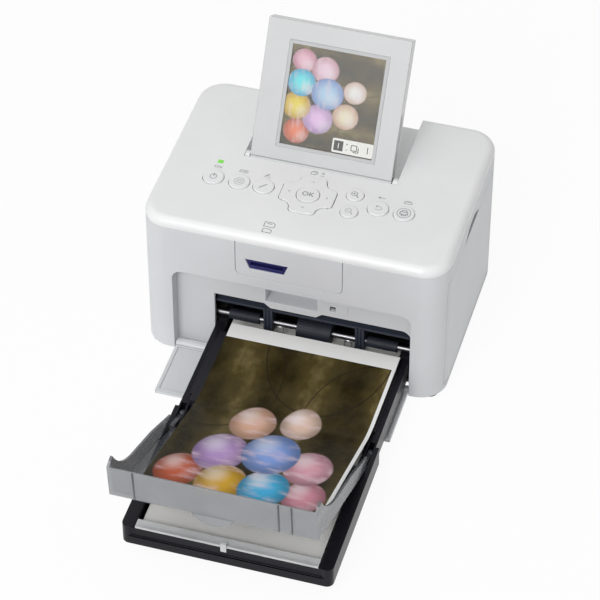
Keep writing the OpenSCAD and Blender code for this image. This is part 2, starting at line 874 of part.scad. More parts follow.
// Cross with hollow inner corners and round arm corners, grown by a margin
module pad_cross(margin, z0, z1) {
    w = pad_w + 2 * margin;
    arm = pad_arm_w + 2 * margin;
    hollow_r = (pad_w - pad_arm_w) / 2 - 2.2 - margin;
    corner = arm / 2 + hollow_r;
    end_r = 2.5 + margin;
    translate([pad_x, key_row_y, z0]) linear_extrude(z1 - z0) {
        difference() {
            square(2 * corner, center = true);
            for (x = [-1, 1], y = [-1, 1]) {
                translate([x * corner, y * corner]) circle(r = hollow_r);
            }
        }
        for (turn = [0, 90]) {
            rotate(turn) round_plan(w, arm, end_r);
        }
    }
}

module nav_pad() from_front() color("#f4f4f3") {
    difference() {
        union() {
            pad_cross(0, pad_flange_z, key_top - 0.2);
            translate([pad_x, key_row_y, pad_flange_z])
                cylinder(r = pad_w / 2 + key_flange, h = key_flange_t);
        }
        translate([pad_x, key_row_y, pad_flange_z - 1]) cylinder(r = ok_key_r + pad_fit, h = key_top);
    }
    for (x = [-1, 1]) {
        rod_x(pad_x + x * cradle_x - 1.8, pad_x + x * cradle_x + 1.8, key_row_y, pad_pin_z, pad_pin_r);
    }
    for (turn = [0 : 90 : 270]) {
        translate([pad_x, key_row_y, 0]) rotate(turn) translate([pad_nub, 0, stem_z])
            cylinder(r = 1.2, h = pad_flange_z - stem_z + eps);
    }
}

// Board under the keys, with the two posts that the pad rocks on
module key_board() from_front() color("#1f6b3a") {
    block([board_x - board_w / 2, board_y0, board_z], [board_x + board_w / 2, board_y1, board_top]);
    for (x = [-1, 1]) {
        difference() {
            block([pad_x + x * cradle_x - 1, key_row_y - 2.4, board_top - eps],
                [pad_x + x * cradle_x + 1, key_row_y + 2.4, pad_pin_z]);
            rod_x(pad_x + x * cradle_x - 2, pad_x + x * cradle_x + 2, key_row_y, pad_pin_z,
                pad_pin_r + run_fit);
        }
    }
}

module dome_switches() from_front() color("#c8c9cb") {
    for (place = [power_at, menu_at, edit_at, zoom_in_at, zoom_out_at, back_at, print_at, pad_at]) {
        translate([place[0], place[1], board_top]) cylinder(r1 = 2.6, r2 = 1.6, h = dome_h);
    }
    for (turn = [0 : 90 : 270]) {
        translate([pad_x, key_row_y, board_top]) rotate(turn) translate([pad_nub, 0, 0])
            cylinder(r1 = 1.9, r2 = 1.2, h = dome_h);
    }
}

module led_pipe(z0, z1) {
    translate([led_at[0] - led_size[0] / 2, led_at[1] - led_size[1] / 2, z0])
        cube([led_size[0], led_size[1], z1 - z0]);
}

module power_led() from_front() color("#38b44a") led_pipe(board_top, body_h + 0.2);

// ---- Display ----

// Raises parts drawn lying flat, hinge axis on X, free edge to the rear and picture up
module on_panel() {
    from_front() translate([panel_x, panel_y, panel_z]) rotate([panel_tilt, 0, 0]) children();
}

// Box over the picture area, grown by a margin
module screen_box(margin, w0, w1) {
    block([screen_shift - screen_w / 2 - margin, screen_up - margin, w0],
        [screen_shift + screen_w / 2 + margin, screen_up + screen_h + margin, w1]);
}

module display_frame() on_panel() color("#d7dada") {
    difference() {
        block([-panel_w / 2, 3, panel_split], [panel_w / 2, panel_l, barrel_r]);
        block([panel_shell_t - panel_w / 2, 7, panel_split - 1],
            [panel_w / 2 - panel_shell_t, panel_l - panel_shell_t, barrel_r - 2.2]);
        screen_box(0, 0, barrel_r + 1);
        screen_box(window_rim, barrel_r - window_t, barrel_r + 1);
    }
}

module display_window() on_panel() color("#9fb0b8") {
    screen_box(window_rim, barrel_r - window_t, barrel_r);
}

module lcd_module() on_panel() color("#8a7f52") {
    screen_box(3, panel_split + 0.2, barrel_r - 2.2);
    screen_box(-0.2, barrel_r - 2.2 - eps, barrel_r - window_t - 0.2);
}

module display_back() on_panel() color("#dfe1e1") {
    difference() {
        union() {
            block([-panel_w / 2, 0, -barrel_r], [panel_w / 2, panel_l, panel_split]);
            block([-panel_w / 2, 0, -barrel_r], [panel_w / 2, 3, 0]);
            rod_x(-panel_w / 2, panel_w / 2, 0, 0, barrel_r);
        }
        block([panel_shell_t - panel_w / 2, 7, panel_shell_t - barrel_r],
            [panel_w / 2 - panel_shell_t, panel_l - panel_shell_t, panel_split + 1]);
        block([-panel_w, 3, panel_split], [panel_w, 6, barrel_r + 1]);
        rod_x(-panel_w, panel_w, 0, 0, display_pin_r);
    }
}

module display_pin() on_panel() color(steel) {
    rod_x(-bay_w / 2 - 0.5, bay_w / 2 + 0.5, 0, 0, display_pin_r);
}

// ---- Front door ----

module front_door() from_front() color(white) {
    free_y = door_axis_y - door_l;
    half = door_w / 2;
    difference() {
        union() {
            block([-half, free_y, door_rise], [half, door_axis_y, door_rise + door_t]);
            rod_x(-half, half, door_axis_y, door_axis_z, door_barrel_r);
        }
        block([door_rim - half, free_y + door_rim, door_rise + door_t - door_dish],
            [half - door_rim, -1, door_rise + door_t + 1]);
    }
    rod_x(-half - door_pin_l, half + door_pin_l, door_axis_y, door_axis_z, door_pin_r);
    block([catch_slot_x - catch_slot_w / 2 + fit, free_y - tongue_l, door_rise + 0.6],
        [catch_slot_x + catch_slot_w / 2 - fit, free_y + eps, door_rise + door_t - 0.6]);
}

// ---- Cassette ----

module in_cassette() {
    from_front() translate([cassette_x, 0, 0]) children();
}

module cassette_tray() in_cassette() color(black) {
    front_half = half_cassette + shoulder_w;
    difference() {
        union() {
            block([-half_cassette, cassette_y0 + 6, cassette_z],
                [half_cassette, cassette_y1, cassette_z + tray_floor_t]);
            for (x = [0, 1]) {
                mirror([x, 0, 0]) cassette_rail(front_half);
            }
            block([cassette_corner_r - front_half, cassette_y0, cassette_z],
                [front_half - cassette_corner_r, cassette_y0 + strip_d + 0.8, front_step_z]);
            block([cassette_corner_r - front_half, cassette_y0 + 0.8, front_step_z - eps],
                [front_half - cassette_corner_r, cassette_y0 + 4.5, front_wall_z]);
            block([1 - half_cassette, cassette_y1 - 2, cassette_z],
                [half_cassette - 1, cassette_y1, stack_top - 0.7]);
        }
        for (x = [0, 1]) {
            mirror([x, 0, 0]) arm_slot();
        }
    }
}

// Right rail: its rear section, and its wider front section with a round front corner
module cassette_rail(front_half) {
    y0 = cassette_y0 + cassette_corner_r;
    inner = half_cassette - rail_w;
    block([inner, y0, cassette_z], [half_cassette, cassette_y1, rail_z]);
    block([inner, y0, cassette_z], [front_half, shoulder_y, rail_z]);
    block([inner, cassette_y0 + 0.8, cassette_z],
        [front_half - cassette_corner_r, y0 + eps, front_wall_z]);
    translate([front_half - cassette_corner_r, y0, cassette_z])
        cylinder(r = cassette_corner_r, h = rail_h);
}

// Slot in the right rail that the output tray's arm turns in, with the hole of its pin
module arm_slot() {
    block([out_arm_x - out_arm_gap, -out_hinge_y - out_body_s,
        out_axis_z - out_knuckle_r - out_arm_gap],
        [out_arm_x + out_arm_w + out_arm_gap, -out_hinge_y + out_knuckle_r + 2, rail_z + 1]);
    rod_x(half_cassette - rail_w - 1, out_arm_x + out_arm_w + out_pin_l + out_arm_gap,
        -out_hinge_y, out_axis_z,
        out_pin_r + run_fit);
}

module cassette_strip() in_cassette() color("#cfd3d4") {
    inner = min(half_cassette - rail_w, half_cassette + shoulder_w - 2 * cassette_corner_r) - 0.05;
    y0 = cassette_y0 + 0.8;
    block([-inner, y0, front_wall_z], [inner, y0 + strip_d, front_wall_z + 1.5]);
    block([-inner, cassette_y0 + 4.5, stack_top + 2], [inner, y0 + strip_d, front_wall_z + eps]);
    block([-3, cassette_y0 + 0.1, front_wall_z - 2.7], [0.4, y0, front_wall_z + 3.3]);
    block([-3, y0 - eps, front_wall_z + 1.5 - eps], [0.4, y0 + 1, front_wall_z + 3.3]);
}

// Bridge over the paper that rests on the rails
module cassette_lid() in_cassette() color("#1f2024") {
    difference() {
        union() {
            block([-half_lid, lid_y0, stack_top + 1], [half_lid, lid_y1, lid_top]);
            for (x = [-half_lid - 2.5, half_lid - 1]) {
                block([x, lid_y0 + 8, rail_z], [x + 3.5, lid_y1 - 4, rail_z + 1.2]);
            }
        }
        block([lid_t - half_lid, lid_y0 - 1, stack_top],
            [half_lid - lid_t, lid_y1 - lid_t, lid_top - lid_t]);
    }
}

module lift_plate() in_cassette() color(steel) {
    half = paper_w / 2 - 2;
    block([-half, -out_hinge_y, lift_z], [half, stack_y1 - 1, stack_z]);
    rod_x(-half, half, -out_hinge_y, lift_z + lift_t / 2, lift_t / 2);
}

module paper_stack() in_cassette() color("#dedbd2") {
    block([-paper_w / 2, stack_y1 - paper_l, stack_z], [paper_w / 2, stack_y1, stack_top]);
}

// ---- Output tray ----

// Raises parts drawn lying flat, hinge axis on X and free edge to the front
module on_out_tray() {
    from_front() translate([out_x, -out_hinge_y, out_axis_z]) rotate([-out_tray_tilt, 0, 0]) children();
}

// Side wall: low along the floor, then swept up into a horn above the lip
module out_wall_outline() {
    difference() {
        polygon([[-out_body_s, -out_floor_drop], [-out_tray_l, -out_floor_drop],
            [-out_tray_l - out_lip_lean, out_lip_h], [-horn_s, horn_t], [-sweep_s, horn_t],
            [-sweep_s, out_wall_h], [-out_level_s, out_wall_h], [-out_body_s, out_rear_h]]);
        translate([-sweep_s, out_wall_h + sweep_r]) circle(r = sweep_r);
    }
}

module output_tray() on_out_tray() color("#6d7078") {
    half = out_tray_w / 2;
    for (x = [-half, half - out_wall_t]) {
        side_profile(x, x + out_wall_t) out_wall_outline();
    }
    block([-half, -out_tray_l, -out_floor_drop], [half, -out_body_s, out_floor_t - out_floor_drop]);
    side_profile(-half, half) polygon([[out_wall_t - out_tray_l, -out_floor_drop],
        [-out_tray_l, -out_floor_drop],
        [-out_tray_l - out_lip_lean, out_lip_h], [out_wall_t - out_tray_l - out_lip_lean, out_lip_h]]);
    intersection() {
        rod_y(-out_tray_l - tab_t, 0.8 - out_tray_l, 0, tab_r - out_floor_drop - tab_drop, tab_r);
        block([-tab_r, -out_tray_l - 1, -20], [tab_r, 2 - out_tray_l, eps - out_floor_drop]);
    }
    translate([cassette_x - out_x, 0, 0]) for (x = [0, 1]) {
        mirror([x, 0, 0]) tray_arm();
    }
}

// Arm from the tray's floor to its hinge, with its knuckle and the two ends of its pin
module tray_arm() {
    x1 = out_arm_x + out_arm_w;
    block([out_arm_x, -out_body_s - 4, -out_floor_drop], [x1, 0, 2]);
    rod_x(out_arm_x, x1, 0, 0, out_knuckle_r);
    rod_x(half_cassette - rail_w + 0.2, x1 + out_pin_l, 0, 0, out_pin_r);
}

module printed_photo() from_front() color("#76683a") translate([print_x - paper_w / 2, 0, print_z]) {
    block([0, print_bend_y, 0], [paper_w, print_y1, sheet_t]);
    translate([0, print_bend_y, sheet_t]) rotate([-print_rise, 0, 0])
        block([0, print_y1 - print_bend_y - paper_l, -sheet_t], [paper_w, 0, 0]);
}

// ---- Print engine ----

module frame_outline() {
    polygon([[frame_y0, floor_z], [frame_y1, floor_z], [frame_y1, frame_top],
        [frame_slope_y, frame_top],
        [frame_y0, frame_front_z]]);
}

// The four shafts' holes through a side frame
module shaft_holes(x0, x1) {
    for (place = [pickup_at, capstan_at, [capstan_y, pinch_z], platen_at]) {
        rod_x(x0 - 1, x1 + 1, place[0], place[1], shaft_r + run_fit);
    }
}

// Frame with the studs of the two idlers outside and ledges under the ink cassette inside
module left_frame() from_front() color("#9b9ea3") {
    inner = frame_x0 + frame_t;
    difference() {
        side_profile(frame_x0, inner) frame_outline();
        shaft_holes(frame_x0, inner);
        rod_x(frame_x0 - 1, inner + 1, motor_at[0], motor_at[1], motor_shaft_r + 0.4);
    }
    for (place = [transfer_at, idler_at]) {
        rod_x(gear_x - 0.4, frame_x0 + eps, place[0], place[1], stud_r);
        rod_x(gear_x + gear_w + 0.2, frame_x0 + eps, place[0], place[1], stud_r + 1);
    }
    for (y = [supply_y, takeup_y]) {
        block([inner - eps, y - 6, tube_z - tube_r - 1.5], [ink_x0 + 5, y + 6, tube_z - tube_r]);
    }
}

module right_frame() from_front() color("#9b9ea3") {
    inner = frame_x1 - frame_t;
    difference() {
        side_profile(inner, frame_x1) frame_outline();
        shaft_holes(inner, frame_x1);
        side_profile(inner - 1, frame_x1 + 1) ink_outline(tube_r + fit);
    }
}

module head_bracket() from_front() color(steel) {
    top = frame_top - 3;
    block([frame_x0 + frame_t, platen_y - 20, top - 2], [frame_x1 - frame_t, platen_y + 20, top]);
    block([roller_x0 + 5, platen_y - head_d / 2, head_z + head_t],
        [roller_x1 - 5, platen_y + head_d / 2, top - 1]);
}

module thermal_head() from_front() color("#e3ded0") {
    block([roller_x0 + 5, platen_y - head_d / 2, head_z],
        [roller_x1 - 5, platen_y + head_d / 2, head_z + head_t]);
}

// Guide that the print leaves over, with two ribbed hangers that carry the pickup shaft
module exit_guide() from_front() color("#6f747c") {
    side_profile(frame_x0 + frame_t, frame_x1 - frame_t)
        polygon([[pickup_y - 3.4, guide_z], [pickup_y + 5, guide_z + 1.5],
            [capstan_y - 6, capstan_z - 2.5],
            [capstan_y - 6, capstan_z - 1], [pickup_y + 4.5, guide_z + 1.5 + guide_t],
            [pickup_y - 3.4, guide_z + guide_t]]);
    for (x = [0, 1]) {
        translate([cassette_x, 0, 0]) mirror([x, 0, 0]) translate([hanger_x, 0, 0]) hanger();
    }
}

// Hanger with three ribs on its front and a small shelf that reaches inwards
module hanger() {
    half = hanger_w / 2;
    difference() {
        union() {
            block([-half, pickup_y - 4.2, hanger_z], [half, pickup_y + 4, guide_z + 1]);
            block([-half - 7, pickup_y - 4, hanger_z], [eps - half, pickup_y - 2.4, hanger_z + 1]);
        }
        rod_x(-hanger_w, hanger_w, pickup_y, pickup_z, shaft_r + run_fit);
        for (x = [-1.4, 0.5]) {
            block([x, pickup_y - 5, hanger_z - 1], [x + 0.9, pickup_y - 3.4, guide_z + 2]);
        }
    }
}

// Wire arches that stand on the hangers' shelves
module wire_springs() from_front() color("#c9cbce") {
    arch_r = 2.1;
    leg = 3;
    for (x = [cassette_x - wire_x, cassette_x + wire_x]) {
        translate([x, pickup_y - 3.1, hanger_z + 1 + leg]) {
            rotate([90, 0, 0]) rotate_extrude(angle = 180) translate([arch_r, 0])
                circle(r = wire_r, $fn = 16);
            for (side = [-arch_r, arch_r]) {
                translate([side, 0, -leg]) cylinder(r = wire_r, h = leg + eps, $fn = 16);
            }
        }
    }
}

module drive_motor() from_front() color("#7d8086") {
    x0 = frame_x0 + frame_t;
    difference() {
        rod_x(x0, x0 + motor_l, motor_at[0], motor_at[1], motor_r);
        rod_x(x0 - 1, x0 + motor_l - 4, motor_at[0], motor_at[1], motor_shaft_r + run_fit);
    }
}

module main_board() from_front() color("#1f6b3a") {
    block([-main_board_x, main_board_y0, main_board_z], [main_board_x, main_board_y1, main_board_top]);
    block([-20, main_board_y0 + 20, main_board_top - eps], [4, main_board_y0 + 44, main_board_top + 2]);
    block([24, main_board_y0 + 24, main_board_top - eps],
        [38, main_board_y0 + 34, main_board_top + 1.6]);
}

module dc_inlet() from_front() color("#1b1b1d") {
    z = main_board_top + usb_h / 2;
    difference() {
        block([inlet_x - 5.5, body_d - 15, main_board_top],
            [inlet_x + 5.5, body_d - wall_t - 1.6, main_board_top + usb_h]);
        rod_y(body_d - 13.5, body_d, inlet_x, z, inlet_r - 1.3);
    }
    rod_y(body_d - 14, body_d - wall_t - 1.6, inlet_x, z, 0.9);
}

module usb_socket() from_front() color("#b9bcc0") {
    difference() {
        block([usb_x - usb_w / 2, body_d - 16, main_board_top],
            [usb_x + usb_w / 2, body_d - 0.6, main_board_top + usb_h]);
        block([usb_x - usb_w / 2 + 1, body_d - 12, main_board_top + 1],
            [usb_x + usb_w / 2 - 1, body_d, main_board_top + usb_h - 1]);
    }
    block([usb_x - 3, body_d - 12 - eps, main_board_top + usb_h / 2 - 1.5],
        [usb_x + 3, body_d - 3, main_board_top + usb_h / 2 + 1.5]);
}

// ---- Ink cassette ----

// Outline round both tubes and the bar between them
module ink_outline(r) {
    for (y = [supply_y, takeup_y]) {
        translate([y, tube_z]) circle(r = r);
    }
    translate([supply_y, tube_z - 5]) square([takeup_y - supply_y, 10]);
}

module ink_cassette_shell() from_front() color("#4c4f57") {
    difference() {
        union() {
            for (x = [ink_x0, ink_x1]) {
                side_profile(x, x + ink_end_t) ink_outline(tube_r - 1);
            }
            for (y = [supply_y, takeup_y]) {
                rod_x(ink_x0 + ink_end_t - eps, ink_x1 + eps, y, tube_z, tube_r);
            }
        }
        for (y = [supply_y, takeup_y]) {
            rod_x(ink_x0 + ink_end_t, ink_x1, y, tube_z, tube_r - tube_t);
            rod_x(ink_x0 - 1, ink_x1 + ink_end_t + 1, y, tube_z, journal_r + run_fit);
        }
        block([ink_x0 + ink_end_t, supply_y + 3, tube_z - tube_r - 1],
            [frame_x1 - frame_t - 1, takeup_y - 3, tube_z - 3]);
    }
    block([ink_x1 + ink_end_t - eps, platen_y - 9, tube_z - 2],
        [ink_x1 + ink_end_t + 4, platen_y + 9, tube_z + 2]);
}

// Spool with its rolled film
module spool(y, film_r) {
    rod_x(ink_x0 - 0.5, ink_x1 + ink_end_t + 0.5, y, tube_z, journal_r);
    rod_x(ink_x0 + ink_end_t + 0.4, ink_x1 - 0.4, y, tube_z, spool_core_r);
    rod_x(ink_x0 + ink_end_t + 4, ink_x1 - 6, y, tube_z, film_r);
}

module supply_spool() from_front() color("#3a2f3f") spool(supply_y, supply_r);
module takeup_spool() from_front() color("#2c2c30") spool(takeup_y, takeup_r);

// Film from one tube's slot over the platen to the other's, fixed at the left end plate
module ribbon_film() from_front() color("#5a4a30") {
    edge = 9;
    inset = 7.2;
    rise = 1.8;
    side_profile(ink_x0 + ink_end_t, frame_x1 - 6)
        polygon([[supply_y + inset, film_z + rise], [platen_y - edge, film_z],
            [platen_y + edge, film_z],
            [takeup_y - inset, film_z + rise], [takeup_y - inset, film_z + rise + film_t],
            [platen_y + edge, film_z + film_t], [platen_y - edge, film_z + film_t],
            [supply_y + inset, film_z + rise + film_t]]);
}

// ---- Rollers ----

module pickup_shaft() from_front() color(steel) {
    rod_x(gear_x, frame_x1 + 1, pickup_y, pickup_z, shaft_r);
}

// Ribbed rubber roller between two smooth sleeves
module pickup_roller() from_front() color("#3b4450") {
    half = pickup_w / 2;
    difference() {
        rod_x(cassette_x - half, cassette_x + half, pickup_y, pickup_z, pickup_r);
        rod_x(-body_w, body_w, pickup_y, pickup_z, shaft_r);
        for (i = [0 : groove_count - 1]) {
            translate([cassette_x, pickup_y, pickup_z]) rotate([i * 360 / groove_count, 0, 0])
                block([-half - 1, -0.4, pickup_r - 0.5], [half + 1, 0.4, pickup_r + 1]);
        }
    }
    for (x = [roller_x0 + 5.5, cassette_x + hanger_x + hanger_w / 2 + 1]) {
        difference() {
            rod_x(x, x + sleeve_l, pickup_y, pickup_z, sleeve_r);
            rod_x(-body_w, body_w, pickup_y, pickup_z, shaft_r);
        }
    }
}

// Roller on its shaft
module roller(x0, x1, y, z, r, end) {
    rod_x(x0, x1, y, z, r);
    rod_x(end, frame_x1 + 1, y, z, shaft_r);
}

module capstan_roller() from_front() color("#8e9196") {
    roller(roller_x0, roller_x1, capstan_y, capstan_z, capstan_r, gear_x);
}

module pinch_roller() from_front() color("#4a4c50") {
    roller(roller_x0, roller_x1, capstan_y, pinch_z, capstan_r, frame_x0 - 0.3);
}

module platen_roller() from_front() color("#2e2f33") {
    roller(roller_x0 + 4, roller_x1 - 4, platen_y, platen_z, platen_r, gear_x);
}

// ---- Gear train, outside the left frame; places are in the Y-Z plane ----

function spacing(teeth_a, teeth_b) = tooth_module * (teeth_a + teeth_b) / 2;
function along(place, angle, distance) = place + distance * [cos(angle), sin(angle)];
function direction(from, to) = atan2(to[1] - from[1], to[0] - from[0]);

// Direction from one gear to the idler that joins it to another gear
function elbow(from, to, near, far) =
    let (gap = norm(to - from))
    direction(from, to) + acos((gap * gap + near * near - far * far) / (2 * gap * near));

// Turn that puts a gear's teeth in the gaps of the gear before it, which sees it at the angle toward
function meshed(teeth_before, turn_before, toward, teeth) =
    toward + 180 - (180 - (toward - turn_before) * teeth_before) / teeth;

pickup_at = [pickup_y, pickup_z];
capstan_at = [capstan_y, capstan_z];
platen_at = [platen_y, platen_z];
motor_at = along(capstan_at, motor_angle, spacing(capstan_teeth, pinion_teeth));
transfer_angle = elbow(capstan_at, platen_at, spacing(capstan_teeth, transfer_teeth),
    spacing(transfer_teeth, platen_teeth));
transfer_at = along(capstan_at, transfer_angle, spacing(capstan_teeth, transfer_teeth));
idler_angle = elbow(capstan_at, pickup_at, spacing(capstan_teeth, idler_teeth),
    spacing(idler_teeth, pickup_teeth));
idler_at = along(capstan_at, idler_angle, spacing(capstan_teeth, idler_teeth));
pinion_turn = meshed(capstan_teeth, 0, motor_angle, pinion_teeth);
transfer_turn = meshed(capstan_teeth, 0, transfer_angle, transfer_teeth);
platen_turn = meshed(transfer_teeth, transfer_turn, direction(transfer_at, platen_at), platen_teeth);
idler_turn = meshed(capstan_teeth, 0, idler_angle, idler_teeth);
pickup_turn = meshed(idler_teeth, idler_turn, direction(idler_at, pickup_at), pickup_teeth);

// Half widths of a tooth, as shares of the pitch, at its tip, pitch circle and root
tooth_tip = 0.10;
tooth_mid = 0.21;
tooth_root = 0.28;

// Spur gear with straight-sided teeth, in its place, with its bore
module gear(place, teeth, turn, bore_r) from_front() color("#e6e1d2") {
    r = tooth_module * teeth / 2;
    tip = r + 0.85 * tooth_module;
    root = r - 1.15 * tooth_module;
    pitch = 360 / teeth;
    side_profile(gear_x, gear_x + gear_w) translate(place) difference() {
        polygon([for (i = [0 : teeth - 1], edge = [[-tooth_root, root], [-tooth_mid, r],
            [-tooth_tip, tip],
            [tooth_tip, tip], [tooth_mid, r], [tooth_root, root]])
            edge[1] * [cos(turn + (i + edge[0]) * pitch), sin(turn + (i + edge[0]) * pitch)]]);
        circle(r = bore_r);
    }
}

module pickup_gear() gear(pickup_at, pickup_teeth, pickup_turn, shaft_r);
module pickup_idler() gear(idler_at, idler_teeth, idler_turn, stud_r + run_fit);
module capstan_gear() gear(capstan_at, capstan_teeth, 0, shaft_r);
module transfer_gear() gear(transfer_at, transfer_teeth, transfer_turn, stud_r + run_fit);
module platen_gear() gear(platen_at, platen_teeth, platen_turn, shaft_r);

module motor_pinion() {
    gear(motor_at, pinion_teeth, pinion_turn, motor_shaft_r);
    from_front() color(steel) rod_x(gear_x, frame_x0 + motor_l - 6, motor_at[0], motor_at[1],
        motor_shaft_r);
}

bottom_chassis();
main_housing();
top_cover();
rear_panel();
card_panel();
card_slot();
door_catch();
rubber_feet();
case_screws();
left_frame();
right_frame();
head_bracket();
thermal_head();
exit_guide();
wire_springs();
drive_motor();
main_board();
dc_inlet();
usb_socket();
key_board();
dome_switches();
power_led();
ink_cassette_shell();
ribbon_film();
display_frame();
display_back();
display_window();
lcd_module();
display_pin();
power_key();
menu_key();
edit_key();
zoom_in_key();
zoom_out_key();
back_key();
print_key();
ok_key();
nav_pad();
front_door();
ink_door();
cassette_tray();
cassette_lid();
cassette_strip();
lift_plate();
paper_stack();
output_tray();
printed_photo();
pickup_shaft();
pickup_roller();
pickup_gear();
pickup_idler();
capstan_roller();
capstan_gear();
pinch_roller();
transfer_gear();
platen_roller();
platen_gear();
motor_pinion();
supply_spool();
takeup_spool();
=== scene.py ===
"""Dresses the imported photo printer: rounded edges, finishes, signs, print, stage and camera."""

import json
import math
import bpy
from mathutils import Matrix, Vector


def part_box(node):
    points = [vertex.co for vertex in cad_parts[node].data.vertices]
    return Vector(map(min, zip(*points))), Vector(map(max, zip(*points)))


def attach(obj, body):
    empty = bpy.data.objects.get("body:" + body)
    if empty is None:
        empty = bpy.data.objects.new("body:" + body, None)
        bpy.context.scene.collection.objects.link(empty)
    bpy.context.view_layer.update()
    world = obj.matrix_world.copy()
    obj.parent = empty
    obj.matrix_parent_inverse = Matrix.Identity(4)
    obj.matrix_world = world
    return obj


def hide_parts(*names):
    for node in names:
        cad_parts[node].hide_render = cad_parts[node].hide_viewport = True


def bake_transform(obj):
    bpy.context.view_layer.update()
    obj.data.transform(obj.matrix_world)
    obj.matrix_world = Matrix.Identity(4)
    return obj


bl_info = {
    "name": "Compact photo printer",
    "version": (1, 0, 0),
    "blender": (4, 5, 0),
    "location": "View3D > Sidebar > Photo printer",
    "description": "Finishes, signs, print and stage for a compact photo printer",
    "category": "Object",
}

import bpy
from bpy.props import FloatProperty, FloatVectorProperty, PointerProperty
from mathutils import Matrix, Vector

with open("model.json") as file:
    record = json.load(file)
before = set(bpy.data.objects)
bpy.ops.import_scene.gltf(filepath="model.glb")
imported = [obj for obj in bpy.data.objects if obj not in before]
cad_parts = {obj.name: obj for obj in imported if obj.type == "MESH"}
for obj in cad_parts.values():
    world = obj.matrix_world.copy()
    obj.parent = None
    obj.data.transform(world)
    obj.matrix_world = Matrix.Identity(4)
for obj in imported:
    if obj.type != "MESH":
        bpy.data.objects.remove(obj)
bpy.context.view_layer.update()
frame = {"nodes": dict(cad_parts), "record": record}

MM = 0.001
FRONT_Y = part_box("main_housing")[0].y
SLOT_OF = {row["node"]: row["material_slot"] for row in frame["record"]["subparts"]}
BODY_OF = {
    node: body
    for body, nodes in frame["record"]["behaviour"]["bodies"].items()
    for node in nodes
}
BLACK = (0.0, 0.0, 0.0, 1.0)
WHITE = (1.0, 1.0, 1.0, 1.0)


def at(x, y, z):
    """A place from millimetres right of the middle, behind the case's front face and up."""
    return Vector((x * MM, y * MM + FRONT_Y, z * MM))


# The display panel's hinge axis, and the lit picture's place from it along the panel
DISPLAY_AXIS = at(-1.8, 68.9, 95.5)
PICTURE_SHIFT = 1.3 * MM
PICTURE_UP = 12.6 * MM
PICTURE_DEPTH = 3.46 * MM
# Where the output tray's paler front lip begins, and how far to each side the change takes
TRAY_LIP_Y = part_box("output_tray")[0].y + 4.2 * MM
TRAY_LIP_BLUR = 0.4 * MM
# Edges that turn by less than this many degrees stay smooth
SMOOTH_TURN = 32.0
# Vertices nearer than this are one
WELD = 0.002 * MM


# ---- Sizes and colours that a user would change ----


def length(name, description, default):
    return FloatProperty(
        name=name, description=description, default=default, subtype="DISTANCE", unit="LENGTH"
    )


def angle(name, description, degrees):
    return FloatProperty(
        name=name, description=description, default=math.radians(degrees), subtype="ANGLE"
    )


def power(name, description, default):
    return FloatProperty(name=name, description=description, default=default, min=0, unit="POWER")


def amount(name, description, default):
    return FloatProperty(name=name, description=description, default=default, min=0)


def colour(name, description, default):
    return FloatVectorProperty(
        name=name, description=description, default=default, subtype="COLOR", min=0, max=1
    )


class StageSettings(bpy.types.PropertyGroup):
    """Camera and light"""

    azimuth: angle("Azimuth", "Camera's turn round the printer", 16.46)
    elevation: angle("Elevation", "Camera's height above the table", 43.51)
    distance: length("Distance", "Camera's distance", 1.679)
    lens: FloatProperty(
        name="Lens",
        description="Focal length in millimetres",
        default=175.0,
        subtype="DISTANCE_CAMERA",
    )
    room_light: amount("Room light", "Strength of the even light", 0.43)
    key_light: power("Key light", "Power of the soft lamp above", 5.5)
    front_light: power("Front light", "Power of the soft lamp in front", 7.0)
    fill_light: power("Fill light", "Power of the small lamp near the camera", 7.5)


class CaseSettings(bpy.types.PropertyGroup):
    """Case and cover"""

    white: colour("Case", "Colour of the case", (0.68, 0.692, 0.71))
    cover: colour("Cover", "Colour of the cover", (0.86, 0.865, 0.87))
    ink: colour("Signs", "Colour of the printed signs", (0.2, 0.205, 0.215))


class DisplaySettings(bpy.types.PropertyGroup):
    """Display panel"""

    tilt: angle("Tilt", "Angle of the raised panel above the table", 60.3)
    width: length("Width", "Width of the picture", 0.0544)
    height: length("Height", "Height of the picture", 0.058)
    glow: amount("Glow", "Brightness of the lit picture", 0.72)


class PrintSettings(bpy.types.PropertyGroup):
    """Finished print"""

    strip: length("Tear-off strip", "White strip at the far edge", 0.011)
    margin: length("Margin", "White margin at the right edge", 0.002)
    rise: angle("Rise", "Slope of the print's front part", 19.5)


class TraySettings(bpy.types.PropertyGroup):
    """Output tray"""

    smoke: colour("Smoke", "Colour of the smoked plastic", (0.11, 0.115, 0.13))
    density: amount("Density", "How much each surface hides", 0.74)
    lip: colour("Lip", "Colour of the frosted front lip", (0.34, 0.348, 0.365))


# ---- Finishes ----


class Value:
    """One output of a finish's nodes, with the arithmetic that adds Math nodes."""

    def __init__(self, finish, socket):
        self.finish = finish
        self.socket = socket

    def _math(self, operation, first, second):
        return self.finish.add("ShaderNodeMath", {"operation": operation}, {0: first, 1: second})

    def __add__(self, other):
        return self._math("ADD", self, other)

    __radd__ = __add__

    def __sub__(self, other):
        return self._math("SUBTRACT", self, other)

    def __rsub__(self, other):
        return self._math("SUBTRACT", other, self)

    def __mul__(self, other):
        return self._math("MULTIPLY", self, other)

    __rmul__ = __mul__

    def __truediv__(self, other):
        return self._math("DIVIDE", self, other)

    def __gt__(self, other):
        return self._math("GREATER_THAN", self, other)

    def __lt__(self, other):
        return self._math("LESS_THAN", self, other)

    def high(self, other):
        return self._math("MAXIMUM", self, other)

    def size(self):
        return self._math("ABSOLUTE", self, 0.0)

    def ramp(self, low, high):
        """A soft step from 0 to 1 as this value goes from low to high."""
        return self.finish.add(
            "ShaderNodeMapRange",
            {"interpolation_type": "SMOOTHSTEP"},
            {"Value": self, "From Min": low, "From Max": high, "To Min": 0.0, "To Max": 1.0},
        )


